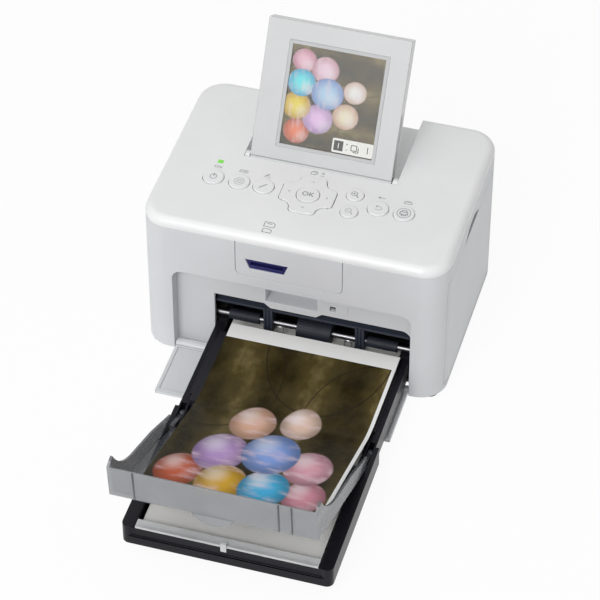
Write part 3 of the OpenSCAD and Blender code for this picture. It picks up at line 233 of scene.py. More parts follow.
class Finish:
    """A material built from nodes."""

    def __init__(self, name):
        self.material = bpy.data.materials.new(name)
        self.material.use_nodes = True
        self.tree = self.material.node_tree
        self.tree.nodes.clear()

    def add(self, kind, settings=None, inputs=None, output=0):
        """Adds a node of a type with its settings, then the values or links of its sockets."""
        node = self.tree.nodes.new(kind)
        for name, setting in (settings or {}).items():
            if name == "stops":
                ramp = node.color_ramp
                for place, colour in setting[1:-1]:
                    ramp.elements.new(place)
                for element, (place, colour) in zip(ramp.elements, setting):
                    element.position = place
                    element.color = colour
            else:
                setattr(node, name, setting)
        for name, value in (inputs or {}).items():
            if isinstance(value, Value):
                self.tree.links.new(value.socket, node.inputs[name])
            else:
                node.inputs[name].default_value = value
        return Value(self, node.outputs[output])

    def place(self, output="Object"):
        """Object coordinates, or the piece's own UV map."""
        return self.add("ShaderNodeTexCoord", output=output)

    def stretched(self, scale):
        """Object coordinates scaled by a vector, in repeats per metre."""
        return self.add("ShaderNodeMapping", None, {"Vector": self.place(), "Scale": scale})

    def noise(self, where, scale, detail=2.0, roughness=0.5):
        inputs = {"Vector": where, "Scale": scale, "Detail": detail, "Roughness": roughness}
        return self.add("ShaderNodeTexNoise", None, inputs)

    def part(self, vector, axis):
        """One of a vector's parts: 0 across, 1 along or 2 up."""
        return self.add("ShaderNodeSeparateXYZ", None, {"Vector": vector}, output=axis)

    def away(self, where, place):
        """The distance from a fixed place."""
        settings = {"operation": "DISTANCE"}
        return self.add("ShaderNodeVectorMath", settings, {0: where, 1: place}, output=1)

    def mix(self, factor, first, second):
        """A colour between two, by a factor."""
        settings = {"data_type": "RGBA", "blend_type": "MIX"}
        return self.add("ShaderNodeMix", settings, {0: factor, 6: first, 7: second}, output=2)

    def bump(self, height, strength, distance):
        inputs = {"Height": height, "Strength": strength, "Distance": distance}
        return self.add("ShaderNodeBump", None, inputs)

    def surface(self, **sockets):
        """The shader with its constant and varying sockets."""
        shader = self.add("ShaderNodeBsdfPrincipled", None, sockets)
        return self.end(shader)

    def end(self, shader):
        output = self.tree.nodes.new("ShaderNodeOutputMaterial")
        self.tree.links.new(shader.socket, output.inputs["Surface"])
        return self.material


# Depth of the moulded grain and of finer marks, in metres
GRAIN_DEPTH = 0.00004
MARK_DEPTH = 0.00003


def tint(colour, factor=1.0):
    """A colour with its alpha, lighter or darker by a factor."""
    return (*(min(1.0, channel * factor) for channel in colour[:3]), 1.0)


def moulded(name, colour, roughness, grain, relief, mottle=0.015, **sockets):
    """Moulded plastic or rubber, its colour varied and its roughness and relief grained."""
    finish = Finish(name)
    where = finish.place()
    broad = finish.noise(where, 24.0, 3.0)
    fine = finish.noise(where, grain, 2.0)
    base = finish.mix(broad.ramp(0.3, 0.7), tint(colour, 1 - mottle), tint(colour, 1 + mottle))
    scuffs = finish.noise(where, 160.0, 4.0, 0.6)
    worn = scuffs.ramp(0.45, 0.8) * (roughness * 0.18)
    rough = roughness * 0.86 + fine * (roughness * 0.14) + worn
    normal = finish.bump(fine, relief, GRAIN_DEPTH)
    return finish.surface(**{"Base Color": base, "Roughness": rough, "Normal": normal}, **sockets)


def brushed(name, colour, roughness, along=(60.0, 1.0, 1.0)):
    """Metal with fine lines along one direction."""
    finish = Finish(name)
    where = finish.stretched(tuple(axis * 40.0 for axis in along))
    lines = finish.noise(where, 3.0, 3.0)
    blooms = finish.noise(finish.place(), 90.0, 3.0)
    base = finish.mix(blooms.ramp(0.35, 0.7), tint(colour, 0.93), tint(colour, 1.05))
    rough = lines * 0.18 + (roughness - 0.09)
    normal = finish.bump(lines, 0.1, MARK_DEPTH)
    return finish.surface(
        **{"Base Color": base, "Roughness": rough, "Metallic": 1.0, "Normal": normal}
    )


def board(name, colour):
    """Circuit board: solder mask over square runs of copper, with bright pads."""
    finish = Finish(name)
    where = finish.place()
    runs = finish.add(
        "ShaderNodeTexBrick",
        {"offset": 0.35, "squash": 1.0},
        {
            "Vector": where,
            "Scale": 260.0,
            "Mortar Size": 0.07,
            "Color1": WHITE,
            "Color2": WHITE,
            "Mortar": BLACK,
        },
        output=1,
    )
    spread = {"Vector": where, "Scale": 300.0, "Randomness": 0.6}
    cells = finish.add("ShaderNodeTexVoronoi", None, spread)
    pads = cells.ramp(0.16, 0.12)
    green = finish.mix(runs, tint(colour), tint(colour, 1.7))
    base = finish.mix(pads, green, (0.62, 0.6, 0.5, 1.0))
    relief = finish.bump(runs * 0.5 + pads, 0.3, 0.00005)
    return finish.surface(
        **{
            "Base Color": base,
            "Roughness": 0.34 - pads * 0.12,
            "Metallic": pads * 0.8,
            "Normal": relief,
        }
    )


def film(name):
    """Dye film on its spools: yellow, magenta, cyan and clear panels in turn, with a sheen."""
    finish = Finish(name)
    depth = finish.part(finish.place(), 1)
    turns = finish.noise(finish.stretched((1.0, 900.0, 900.0)), 1.0, 2.0)
    panel = (depth * 12.0 + 0.2).ramp(0.0, 3.0)
    stops = [
        (0.0, (0.3, 0.2, 0.02, 1)),
        (0.4, (0.22, 0.03, 0.08, 1)),
        (0.7, (0.03, 0.1, 0.2, 1)),
        (1.0, (0.1, 0.08, 0.06, 1)),
    ]
    dye = finish.add("ShaderNodeValToRGB", {"stops": stops}, {0: panel})
    base = finish.mix(turns.ramp(0.3, 0.7), dye, (0.05, 0.035, 0.03, 1.0))
    normal = finish.bump(turns, 0.2, 0.00002)
    return finish.surface(
        **{"Base Color": base, "Roughness": 0.2 + turns * 0.1, "Normal": normal}
    )


SHEETS_PER_METRE = 4000.0


def paper(name, colour):
    """Plain photo paper: faint fibres, and the cut edges of the sheets as thin lines."""
    finish = Finish(name)
    fibres = finish.noise(finish.place(), 900.0, 4.0, 0.65)
    height = finish.part(finish.place(), 2)
    sheets = finish.add(
        "ShaderNodeMath", {"operation": "FRACT"}, {0: height * SHEETS_PER_METRE}
    )
    base = finish.mix(fibres, tint(colour, 0.985), tint(colour, 1.015))
    relief = finish.bump(fibres * 0.5 + sheets.ramp(0.0, 0.25), 0.12, MARK_DEPTH)
    return finish.surface(
        **{"Base Color": base, "Roughness": 0.38 + fibres * 0.1, "Normal": relief}
    )


# The still life on the print and the display: round balloons before draped cloth. Places and sizes
# are in widths of the print: across, along from the near edge, radius, colour.
BALLOONS = (
    (0.15, 0.17, 0.125, (0.6, 0.12, 0.045)),
    (0.85, 0.16, 0.115, (0.72, 0.3, 0.38)),
    (0.3, 0.36, 0.145, (0.5, 0.32, 0.64)),
    (0.79, 0.37, 0.13, (0.76, 0.38, 0.46)),
    (0.4, 0.14, 0.135, (0.74, 0.42, 0.03)),
    (0.63, 0.16, 0.135, (0.07, 0.5, 0.84)),
    (0.56, 0.42, 0.155, (0.26, 0.4, 0.82)),
    (0.37, 0.62, 0.125, (0.8, 0.48, 0.34)),
    (0.62, 0.68, 0.11, (0.86, 0.62, 0.5)),
)
STRINGS = ((0.95, 0.72, 0.36), (0.1, 0.86, 0.32), (0.62, 1.12, 0.36))


def still_life(finish, across, along, light=1.0):
    """The picture's colour at a place given in widths of the print."""
    where = finish.add("ShaderNodeCombineXYZ", None, {"X": across, "Y": along})
    bands = finish.add(
        "ShaderNodeTexWave",
        {"wave_type": "BANDS", "bands_direction": "X", "wave_profile": "SIN"},
        {"Vector": where, "Scale": 0.8, "Distortion": 7.5, "Detail": 3.0, "Detail Scale": 0.9},
        output=1,
    )
    weave = finish.noise(where, 9.0, 5.0, 0.6)
    colour = finish.add(
        "ShaderNodeValToRGB",
        {
            "stops": [
                (0.0, tint((0.006, 0.004, 0.001), light)),
                (0.3, tint((0.026, 0.019, 0.005), light)),
                (0.7, tint((0.07, 0.052, 0.016), light)),
                (1.0, tint((0.19, 0.148, 0.058), light)),
            ]
        },
        {0: bands * 0.5 + weave * 0.9 - 0.15},
    )
    for x, y, radius in STRINGS:
        away = finish.away(where, (x, y, 0))
        line = (away - radius).size().ramp(0.006, 0.002)
        colour = finish.mix(line * 0.7, colour, (0.02, 0.015, 0.008, 1.0))
    slant = finish.add("ShaderNodeMapping", None, {"Vector": where, "Scale": (3.0, 9.0, 1.0)})
    streaks = finish.noise(slant, 2.0, 3.0)
    pale = tint((0.92, 0.72, 0.78), min(light, 1.05))
    for x, y, radius, skin in BALLOONS:
        away = finish.away(where, (x, y, 0))
        spot = finish.away(where, (x - radius * 0.35, y + radius * 0.4, 0))
        turned = (away / radius).ramp(0.2, 1.1)
        shade = finish.mix(turned, tint(skin, light), tint(skin, light * 0.42))
        shade = finish.mix(streaks.ramp(0.45, 0.75) * 0.55, shade, pale)
        shade = finish.mix(spot.ramp(radius * 0.7, radius * 0.05) * 0.38, shade, WHITE)
        colour = finish.mix(away.ramp(radius + 0.006, radius - 0.006), colour, shade)
    return colour


def glossy_print(name, strip, margin):
    """The finished print: picture, white tear-off strip and margin, under a glossy layer."""
    finish = Finish(name)
    uv = finish.place("UV")
    across, along = finish.part(uv, 0), finish.part(uv, 1)
    picture = still_life(finish, across, along * 1.15)
    edge = (along > 1.0 - strip).high(across > 1.0 - margin)
    base = finish.mix(edge, picture, (0.88, 0.88, 0.87, 1.0))
    gloss = finish.noise(finish.place(), 60.0, 2.0)
    ripple = finish.noise(finish.place(), 35.0, 1.0)
    return finish.surface(
        **{
            "Base Color": base,
            "Roughness": 0.16 + gloss * 0.08,
            "Specular IOR Level": 0.09,
            "Normal": finish.bump(ripple, 0.1, 0.0004),
        }
    )


DOT_ROWS = 180.0


def shining(finish, lit, strength, base=(0.01, 0.01, 0.01, 1.0), roughness=0.3):
    """A surface that gives off light of its own."""
    return finish.surface(
        **{
            "Base Color": base,
            "Roughness": roughness,
            "Emission Color": lit,
            "Emission Strength": strength,
        }
    )


def lit_picture(name, glow):
    """The same still life, turned a quarter, lit from behind, with the rows of its dots."""
    finish = Finish(name)
    uv = finish.place("UV")
    right, up = finish.part(uv, 0), finish.part(uv, 1)
    picture = still_life(finish, up, right * 0.9 + 0.03, 1.9)
    dots = finish.add("ShaderNodeMath", {"operation": "FRACT"}, {0: up * DOT_ROWS})
    rows = dots.ramp(0.0, 0.2) * 0.12 + 0.88
    return shining(finish, finish.mix(rows, BLACK, picture), glow)


def clear(name, colour, alpha, roughness, frost):
    """Clear plastic, thin enough to see through without bending the view."""
    finish = Finish(name)
    swirl = finish.noise(finish.place(), 45.0, 3.0)
    fine = finish.noise(finish.place(), 1100.0, 2.0)
    base = finish.mix(swirl.ramp(0.3, 0.7), tint(colour, 0.94), tint(colour, 1.06))
    return finish.surface(
        **{
            "Base Color": base,
            "Roughness": roughness + fine * (0.05 + frost),
            "Alpha": swirl * 0.08 + (alpha - 0.04),
            "Normal": finish.bump(fine, 0.05 + frost, MARK_DEPTH),
        }
    )


def smoked(name, tray):
    """The output tray's smoked plastic, paler and rougher towards its front lip."""
    finish = Finish(name)
    depth = finish.part(finish.place(), 1)
    lip = depth.ramp(TRAY_LIP_Y + TRAY_LIP_BLUR, TRAY_LIP_Y - TRAY_LIP_BLUR)
    swirl = finish.noise(finish.place(), 45.0, 3.0)
    fine = finish.noise(finish.place(), 1100.0, 2.0)
    shade = finish.mix(swirl.ramp(0.3, 0.7), tint(tray.smoke, 0.94), tint(tray.smoke, 1.06))
    base = finish.mix(lip * (swirl * 0.3 + 0.8), shade, tint(tray.lip))
    return finish.surface(
        **{
            "Base Color": base,
            "Roughness": fine * 0.08 + lip * 0.12 + 0.14,
            "Alpha": swirl * 0.08 + (tray.density - 0.04),
            "Normal": finish.bump(fine, 0.1, MARK_DEPTH),
        }
    )


def window(name, display):
    """The display's window: clear over the picture and silvered from behind round it."""
    finish = Finish(name)
    middle = tuple(display_middle(display))
    from_middle = {0: finish.place(), 1: middle}
    where = finish.add("ShaderNodeVectorMath", {"operation": "SUBTRACT"}, from_middle)
    across, along = (
        finish.add(
            "ShaderNodeVectorMath",
            {"operation": "DOT_PRODUCT"},
            {0: where, 1: tuple(axis)},
            output=1,
        )
        for axis in display_axes(display.tilt)[:2]
    )
    outside = (across.size() > display.width / 2).high(along.size() > display.height / 2)
    smear = finish.noise(finish.place(), 50.0, 2.0)
    return finish.surface(
        **{
            "Base Color": (0.38, 0.385, 0.39, 1.0),
            "Roughness": smear * 0.03 + 0.02,
            "Alpha": outside * 0.95 + 0.05,
            "Coat Weight": outside * 0.4,
            "Coat Roughness": 0.04,
        }
    )


def display_axes(tilt):
    """Rightwards, upwards and outwards along the raised display panel."""
    right = Vector((1, 0, 0))
    up = Vector((0, math.cos(tilt), math.sin(tilt)))
    return right, up, right.cross(up)


def display_middle(display):
    """The middle of the picture, on the display module's face."""
    right, up, out = display_axes(display.tilt)
    aside = right * PICTURE_SHIFT + out * PICTURE_DEPTH
    return DISPLAY_AXIS + aside + up * (PICTURE_UP + display.height / 2)


def light_pipe(name):
    """The green light: a lit lens, its green faintly mottled."""
    finish = Finish(name)
    cloud = finish.noise(finish.place(), 500.0, 2.0)
    glow = finish.mix(cloud, (0.18, 0.62, 0.06, 1.0), (0.32, 0.85, 0.12, 1.0))
    return shining(finish, glow, 0.5, (0.1, 0.4, 0.05, 1.0), 0.2)


def shine(level):
    """How strongly a surface shines, 0.5 being plain plastic."""
    return {"Specular IOR Level": level}


def make_finish(slot, scene):
    """The material of one of the record's slots."""
    case = scene.printer_case
    tray = scene.printer_tray
    makers = {
        "case_white": lambda n: moulded(n, case.white, 0.42, 1800.0, 0.1, **shine(0.4)),
        "cover_white": lambda n: moulded(n, case.cover, 0.3, 1500.0, 0.06, **shine(0.5)),
        "rear_grey": lambda n: moulded(n, (0.62, 0.62, 0.615), 0.6, 1300.0, 0.35),
        "slot_navy": lambda n: moulded(n, (0.02, 0.02, 0.12), 0.3, 1200.0, 0.12, 0.08),
        "chassis_black": lambda n: moulded(n, (0.025, 0.025, 0.028), 0.62, 1300.0, 0.4, 0.08),
        "foot_rubber": lambda n: moulded(n, (0.018, 0.018, 0.019), 0.85, 900.0, 0.6, 0.15),
        "screw_steel": lambda n: brushed(n, (0.5, 0.5, 0.51), 0.34),
        "frame_steel": lambda n: brushed(n, (0.58, 0.58, 0.59), 0.36),
        "head_ceramic": lambda n: moulded(n, (0.72, 0.68, 0.58), 0.45, 1600.0, 0.2, 0.03),
        "guide_grey": lambda n: moulded(
            n, (0.04, 0.047, 0.066), 0.4, 1500.0, 0.3, 0.06, **shine(0.2)
        ),
        "spring_wire": lambda n: brushed(n, (0.72, 0.72, 0.73), 0.2, (1.0, 1.0, 12.0)),
        "motor_can": lambda n: brushed(n, (0.3, 0.31, 0.33), 0.42, (1.0, 30.0, 30.0)),
        "board_green": lambda n: board(n, (0.012, 0.085, 0.03)),
        "socket_black": lambda n: moulded(n, (0.018, 0.018, 0.02), 0.5, 1200.0, 0.3, 0.08),
        "socket_steel": lambda n: brushed(n, (0.6, 0.6, 0.61), 0.3, (1.0, 1.0, 20.0)),
        "led_green": light_pipe,
        "ink_shell": lambda n: moulded(n, (0.045, 0.05, 0.065), 0.5, 1400.0, 0.3, 0.06),
        "ink_film": film,
        "bezel_silver": lambda n: moulded(
            n,
            (0.38, 0.385, 0.39),
            0.16,
            2600.0,
            0.02,
            0.02,
            **{"Metallic": 0.12, "Coat Weight": 0.4, "Coat Roughness": 0.04},
        ),
        "panel_silver": lambda n: moulded(
            n, (0.66, 0.668, 0.675), 0.32, 2600.0, 0.04, 0.02, **{"Metallic": 0.12}
        ),
        "window_clear": lambda n: window(n, scene.printer_display),
        "screen": lambda n: moulded(n, (0.02, 0.02, 0.018), 0.35, 1500.0, 0.1, 0.1),
        "pin_steel": lambda n: brushed(n, (0.2, 0.2, 0.21), 0.32, (1.0, 40.0, 40.0)),
        "key_white": lambda n: moulded(n, (0.86, 0.865, 0.87), 0.4, 1500.0, 0.08, **shine(0.45)),
        "cassette_black": lambda n: moulded(
            n, (0.012, 0.012, 0.016), 0.3, 1300.0, 0.25, 0.1, **shine(0.14)
        ),
        "lid_black": lambda n: moulded(
            n, (0.013, 0.013, 0.017), 0.5, 1300.0, 0.3, 0.1, **shine(0.2)
        ),
        # Partly painted reflection: the clear strip's near-white colour at high alpha is partly its
        # own pale plastic and partly stands in for its bright reflections
        "strip_clear": lambda n: clear(n, (0.93, 0.94, 0.95), 0.62, 0.08, 0.05),
        "paper_white": lambda n: paper(n, (0.93, 0.92, 0.89)),
        "print_gloss": lambda n: paper(n, (0.76, 0.76, 0.75)),
        "tray_smoke": lambda n: smoked(n, tray),
        "roller_rubber": lambda n: moulded(
            n, (0.018, 0.021, 0.031), 0.6, 700.0, 0.6, 0.1, **shine(0.3)
        ),
        "gear_white": lambda n: moulded(n, (0.72, 0.7, 0.63), 0.42, 1400.0, 0.1, 0.02),
    }
    return makers[slot](slot)


FINISHES = {}


def finish_of(slot):
    """The slot's material, made the first time it is asked for."""
    if slot not in FINISHES:
        FINISHES[slot] = make_finish(slot, bpy.context.scene)
    return FINISHES[slot]


def paint(piece, material):
    """Gives a piece one material."""
    piece.data.materials.clear()
    piece.data.materials.append(material)


# ---- Modelling ----


def only(*pieces):
    """Selects these pieces alone, the first one active."""
    bpy.ops.object.select_all(action="DESELECT")
    for piece in pieces:
        piece.select_set(True)
    bpy.context.view_layer.objects.active = pieces[0]


def modify(piece, kind, **settings):
    """Adds a modifier with its settings and applies it."""
    only(piece)
    modifier = piece.modifiers.new(kind.title(), kind)
    for name, setting in settings.items():
        setattr(modifier, name, setting)
    bpy.ops.object.modifier_apply(modifier=modifier.name)


def smooth(piece, turn=SMOOTH_TURN):
    """Smooth shading, but for the edges that turn by more degrees than this."""
    only(piece)
    bpy.ops.object.shade_smooth_by_angle(angle=math.radians(turn))


def carry(piece, body, slot, *nodes):
    """Puts a finished piece on its body and in the place of its nodes, which it hides. The slot is
    not used.
    """
    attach(piece, body)
    if nodes:
        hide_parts(*nodes)
    return piece


def dressed(node, name, edge):
    """A node's form, its sharp edges rounded by a radius in millimetres, in its place."""
    piece = bpy.data.objects.new(name, frame["nodes"][node].data.copy())
    piece.data.name = name
    bpy.context.scene.collection.objects.link(piece)
    only(piece)
    if piece.data.has_custom_normals:
        bpy.ops.mesh.customdata_custom_splitnormals_clear()
    bpy.ops.object.mode_set(mode="EDIT")
    bpy.ops.mesh.select_all(action="SELECT")
    bpy.ops.mesh.remove_doubles(threshold=WELD)
    bpy.ops.object.mode_set(mode="OBJECT")
    if edge:
        only(piece)
        bpy.ops.object.shade_smooth()
        modify(
            piece,
            "BEVEL",
            width=edge * MM,
            segments=2,
            limit_method="ANGLE",
            angle_limit=math.radians(SMOOTH_TURN),
            use_clamp_overlap=False,
            loop_slide=False,
            harden_normals=True,
        )
    else:
        smooth(piece)
    paint(piece, finish_of(SLOT_OF[node]))
    return carry(piece, BODY_OF[node], SLOT_OF[node], node)


class Sign:
    """A flat sign of bars, rings and letters on a surface, made in millimetres round its middle."""

    THICK = 0.08
    SMOOTH_TURN = 40.0

    def __init__(self, name, middle, right=Vector((1, 0, 0)), up=Vector((0, 1, 0))):
        self.name = name
        self.middle = middle
        self.basis = Matrix((right, up, right.cross(up))).transposed()
        self.parts = []

    def spot(self, u, v):
        return self.middle + self.basis @ Vector((u, v, 0)) * MM

    def turn(self, angle=0.0):
        return (self.basis @ Matrix.Rotation(angle, 3, "Z")).to_euler()

    def bar(self, u0, v0, u1, v1, width=0.35):
        length = math.hypot(u1 - u0, v1 - v0)
        bpy.ops.mesh.primitive_cube_add(
            size=1,
            location=self.spot((u0 + u1) / 2, (v0 + v1) / 2),
            rotation=self.turn(math.atan2(v1 - v0, u1 - u0)),
            scale=(length * MM, width * MM, self.THICK * MM),
        )
        self.parts.append(bpy.context.object)

    def path(self, *points, width=0.35):
        for (u0, v0), (u1, v1) in zip(points, points[1:]):
            self.bar(u0, v0, u1, v1, width)

    def ring(self, u, v, radius, width=0.35):
        bpy.ops.mesh.primitive_torus_add(
            major_radius=radius * MM,
            minor_radius=width * MM / 2,
            major_segments=28,
            minor_segments=6,
            location=self.spot(u, v),
            rotation=self.turn(),
        )
        ring = bpy.context.object
        ring.scale = (1, 1, self.THICK / width)
        self.parts.append(ring)

    def words(self, text, u, v, height):
        bpy.ops.object.text_add(location=self.spot(u, v), rotation=self.turn())
        letters = bpy.context.object
        letters.data.body = text
        letters.data.size = height * MM
        letters.data.extrude = self.THICK * MM / 2
        letters.data.align_x = "CENTER"
        letters.data.align_y = "CENTER"
        letters.data.resolution_u = 4
        bpy.ops.object.convert(target="MESH")
        self.parts.append(bpy.context.object)

    def done(self, body, slot, material):
        """Joins the sign, applies its place and puts it on its body."""
        only(*self.parts)
        if len(self.parts) > 1:
            bpy.ops.object.join()
        sign = bpy.context.object
        sign.name = self.name
        sign.data.name = self.name
        only(sign)
        bpy.ops.object.transform_apply(location=True, rotation=True, scale=True)
        smooth(sign, self.SMOOTH_TURN)
        paint(sign, material)
        return carry(sign, body, slot)


def printed_ink(name, colour):
    """Printed ink: slightly worn, with the plastic's grain."""
    return moulded(name, colour, 0.5, 1800.0, 0.1, 0.06)


# ---- Operators ----


class PRINTER_OT_stage(bpy.types.Operator):
    """Camera, soft light, pale floor and white surroundings"""

    bl_idname = "printer.stage"
    bl_label = "Stage"

    # The camera's aim from the middle of the case's front edge, across and up the view
    AIM_RIGHT = 0.00549
    AIM_UP = 0.04186
    # Each lamp's place and side, and the place that all of them face
    LAMPS = {
        "key": (Vector((-0.25, -0.35, 1.5)), 1.3),
        "front": (Vector((-0.45, -1.7, 1.03)), 0.9),
        "fill": (Vector((-0.12, -1.28, 1.12)), 0.5),
    }
    LIT_PLACE = Vector((0, 0, 0.05))
    FLOOR_RADIUS = 6.0
    FLOOR_Z = -0.2 * MM
    # The share of plain white in the floor as the camera sees it
    FLOOR_GLOW = 0.93

    def execute(self, context):
        stage = context.scene.printer_stage
        self.camera(context.scene, stage)
        for name, (place, side) in self.LAMPS.items():
            self.lamp(name + "_lamp", place, side, getattr(stage, name + "_light"))
        self.floor()
        self.surroundings(context.scene, stage.room_light)
        return {"FINISHED"}

    def camera(self, scene, stage):
        """The photograph's camera, turned round the printer by the azimuth and the elevation."""
        azimuth, elevation = stage.azimuth, stage.elevation
        level = math.cos(elevation)
        back = Vector(
            (math.sin(azimuth) * level, -math.cos(azimuth) * level, math.sin(elevation))
        )
        right = Vector((math.cos(azimuth), math.sin(azimuth), 0))
        up = back.cross(right)
        aim = Vector((0, FRONT_Y, 0)) + right * self.AIM_RIGHT + up * self.AIM_UP
        turn = Matrix((right, up, back)).transposed().to_4x4()
        bpy.ops.object.camera_add()
        camera = bpy.context.object
        camera.name = "camera"
        camera.matrix_world = Matrix.Translation(aim + back * stage.distance) @ turn
        camera.data.lens = stage.lens
        camera.data.sensor_width = 36.0
        camera.data.clip_start = 0.05
        camera.data.clip_end = 50.0
        scene.camera = camera
        scene.view_settings.view_transform = "Standard"

    def lamp(self, name, place, side, power):
        """A square soft lamp that faces the printer."""
        bpy.ops.object.light_add(type="AREA", location=place)
        lamp = bpy.context.object
        lamp.name = name
        lamp.data.size = side
        lamp.data.energy = power
        lamp.rotation_euler = (place - self.LIT_PLACE).to_track_quat("Z", "Y").to_euler()

    def floor(self):
        """A pale matt floor that the camera sees as nearly white."""
        bpy.ops.mesh.primitive_circle_add(
            vertices=96,
            radius=self.FLOOR_RADIUS,
            fill_type="NGON",
            location=(0, 0, self.FLOOR_Z),
        )
        floor = bpy.context.object
        floor.name = "floor"
        finish = Finish("floor_white")
        speck = finish.noise(finish.place(), 40.0, 2.0)
        pale = finish.mix(speck, (0.93, 0.93, 0.93, 1.0), (0.95, 0.95, 0.95, 1.0))
        matt = finish.add("ShaderNodeBsdfDiffuse", None, {"Color": pale})
        glow = finish.add("ShaderNodeEmission", None, {"Color": WHITE, "Strength": 1.0})
        seen = seen_rays(finish) * self.FLOOR_GLOW
        shown = finish.add("ShaderNodeMixShader", None, {0: seen, 1: matt, 2: glow})
        paint(floor, finish.end(shown))

    def surroundings(self, scene, strength):
        """An even grey room that the camera, metal and glass see as white."""
        world = bpy.data.worlds.new("room")
        world.use_nodes = True
        scene.world = world
        room = Finish.__new__(Finish)
        room.tree = world.node_tree
        room.tree.nodes.clear()
        dim, white = (
            room.add("ShaderNodeBackground", None, {"Color": WHITE, "Strength": light})
            for light in (strength, 1.0)
        )
        shown = room.add("ShaderNodeMixShader", None, {0: seen_rays(room), 1: dim, 2: white})
        output = room.tree.nodes.new("ShaderNodeOutputWorld")
        room.tree.links.new(shown.socket, output.inputs["Surface"])


def seen_rays(finish):
    """1 for the rays of the camera, of reflections and of clear pieces."""
    camera, glossy, through = (
        finish.add("ShaderNodeLightPath", output=name)
        for name in ("Is Camera Ray", "Is Glossy Ray", "Is Transmission Ray")
    )
    return camera.high(glossy).high(through)


class PRINTER_OT_case(bpy.types.Operator):
    """Case shells, card panel, sockets' surrounds and feet with rounded edges"""

    bl_idname = "printer.case"
    bl_label = "Case"

    EDGES = {
        "main_housing": ("case_shell", 0.3),
        "top_cover": ("cover_shell", 0.3),
        "card_panel": ("card_plate", 0.25),
        "card_slot": ("card_mouth", 0.2),
        "door_catch": ("catch_plate", 0.12),
        "rear_panel": ("rear_plate", 0.25),
        "bottom_chassis": ("floor_plate", 0.2),
        "rubber_feet": ("feet", 0.4),
        "exit_guide": ("guide_plate", 0.15),
        "ink_cassette_shell": ("ink_shell_body", 0.25),
        "drive_motor": ("motor_body", 0.3),
    }

    def execute(self, context):
        for node, (name, edge) in self.EDGES.items():
            dressed(node, name, edge)
        return {"FINISHED"}


class PRINTER_OT_doors(bpy.types.Operator):
    """Front door and ink door with rounded edges"""

    bl_idname = "printer.doors"
    bl_label = "Doors"

    def execute(self, context):
        dressed("front_door", "front_flap", 0.4)
        dressed("ink_door", "ink_flap", 0.25)
        return {"FINISHED"}


class PRINTER_OT_display(bpy.types.Operator):
    """Display panel with its lit picture and the bar of numbers and signs"""

    bl_idname = "printer.display"
    bl_label = "Display"

    # In millimetres: the bar's middle from the picture's right and lower edges, and its layers
    BAR_IN = 12.0
    BAR_UP = 4.7
    BAR_OFF = 0.06
    LAYER = 0.07
    PICTURE_THICK = 0.04

    def execute(self, context):
        dressed("display_frame", "panel_frame", 0.2)
        dressed("display_back", "panel_back", 0.35)
        dressed("display_window", "panel_window", 0)
        settings = context.scene.printer_display
        right, up, out = display_axes(settings.tilt)
        middle = display_middle(settings)
        self.picture(middle, right, up, settings)
        aside = right * (settings.width / 2 - self.BAR_IN * MM) + out * self.BAR_OFF * MM
        self.icons(middle + aside - up * (settings.height / 2 - self.BAR_UP * MM), right, up)
        return {"FINISHED"}

    def picture(self, middle, right, up, settings):
        """A thin slab on the display module, with the picture on its own UV map."""
        bpy.ops.mesh.primitive_plane_add(size=1)
        picture = bpy.context.object
        picture.name = "lit_screen"
        turn = Matrix((right, up, right.cross(up))).transposed().to_4x4()
        size = Matrix.Diagonal((settings.width, settings.height, 1, 1))
        picture.matrix_world = Matrix.Translation(middle) @ turn @ size
        only(picture)
        bpy.ops.object.transform_apply(location=True, rotation=True, scale=True)
        modify(picture, "SOLIDIFY", thickness=self.PICTURE_THICK * MM, offset=-1)
        paint(picture, lit_picture("lit_picture", settings.glow))
        carry(picture, "display", "screen")

    def icons(self, corner, right, up):
        """A white bar with a dark square, plain numbers, and a sheet sign."""
        step = right.cross(up) * self.LAYER * MM
        bar = Sign("bar_ground", corner, right, up)
        bar.bar(-11.6, 0, 11.6, 0, 8.2)
        bar.bar(-12.0, 0, 12.0, 0, 7.4)
        bar.done("display", "screen", glowing("bar_white", (0.8, 0.8, 0.76)))
        dark = Sign("bar_square", corner + step, right, up)
        dark.bar(-11.0, 0, -5.6, 0, 5.8)
        dark.words("1", 8.8, -0.2, 5.4)
        dark.path((-3.8, 1.6), (-3.0, 1.6), width=0.4)
        dark.path((-3.8, -1.6), (-3.0, -1.6), width=0.4)
        dark.path((-3.4, 2.0), (-3.4, 1.2), width=0.4)
        dark.path((-0.8, -1.5), (2.4, -1.5), (2.4, 1.6), (-0.8, 1.6), (-0.8, -1.5), width=0.45)
        dark.path((0.4, -2.3), (3.4, -2.3), (3.4, 0.6), width=0.45)
        dark.done("display", "screen", glowing("bar_dark", (0.03, 0.028, 0.025)))
        light = Sign("bar_digit", corner + step + step, right, up)
        light.words("1", -8.3, -0.2, 4.6)
        light.done("display", "screen", glowing("bar_light", (0.75, 0.75, 0.72)))


def glowing(name, colour):
    """A lit part of the display, faintly mottled."""
    finish = Finish(name)
    cloud = finish.noise(finish.place(), 700.0, 1.0)
    return shining(finish, finish.mix(cloud, tint(colour, 0.94), tint(colour, 1.04)), 1.0)


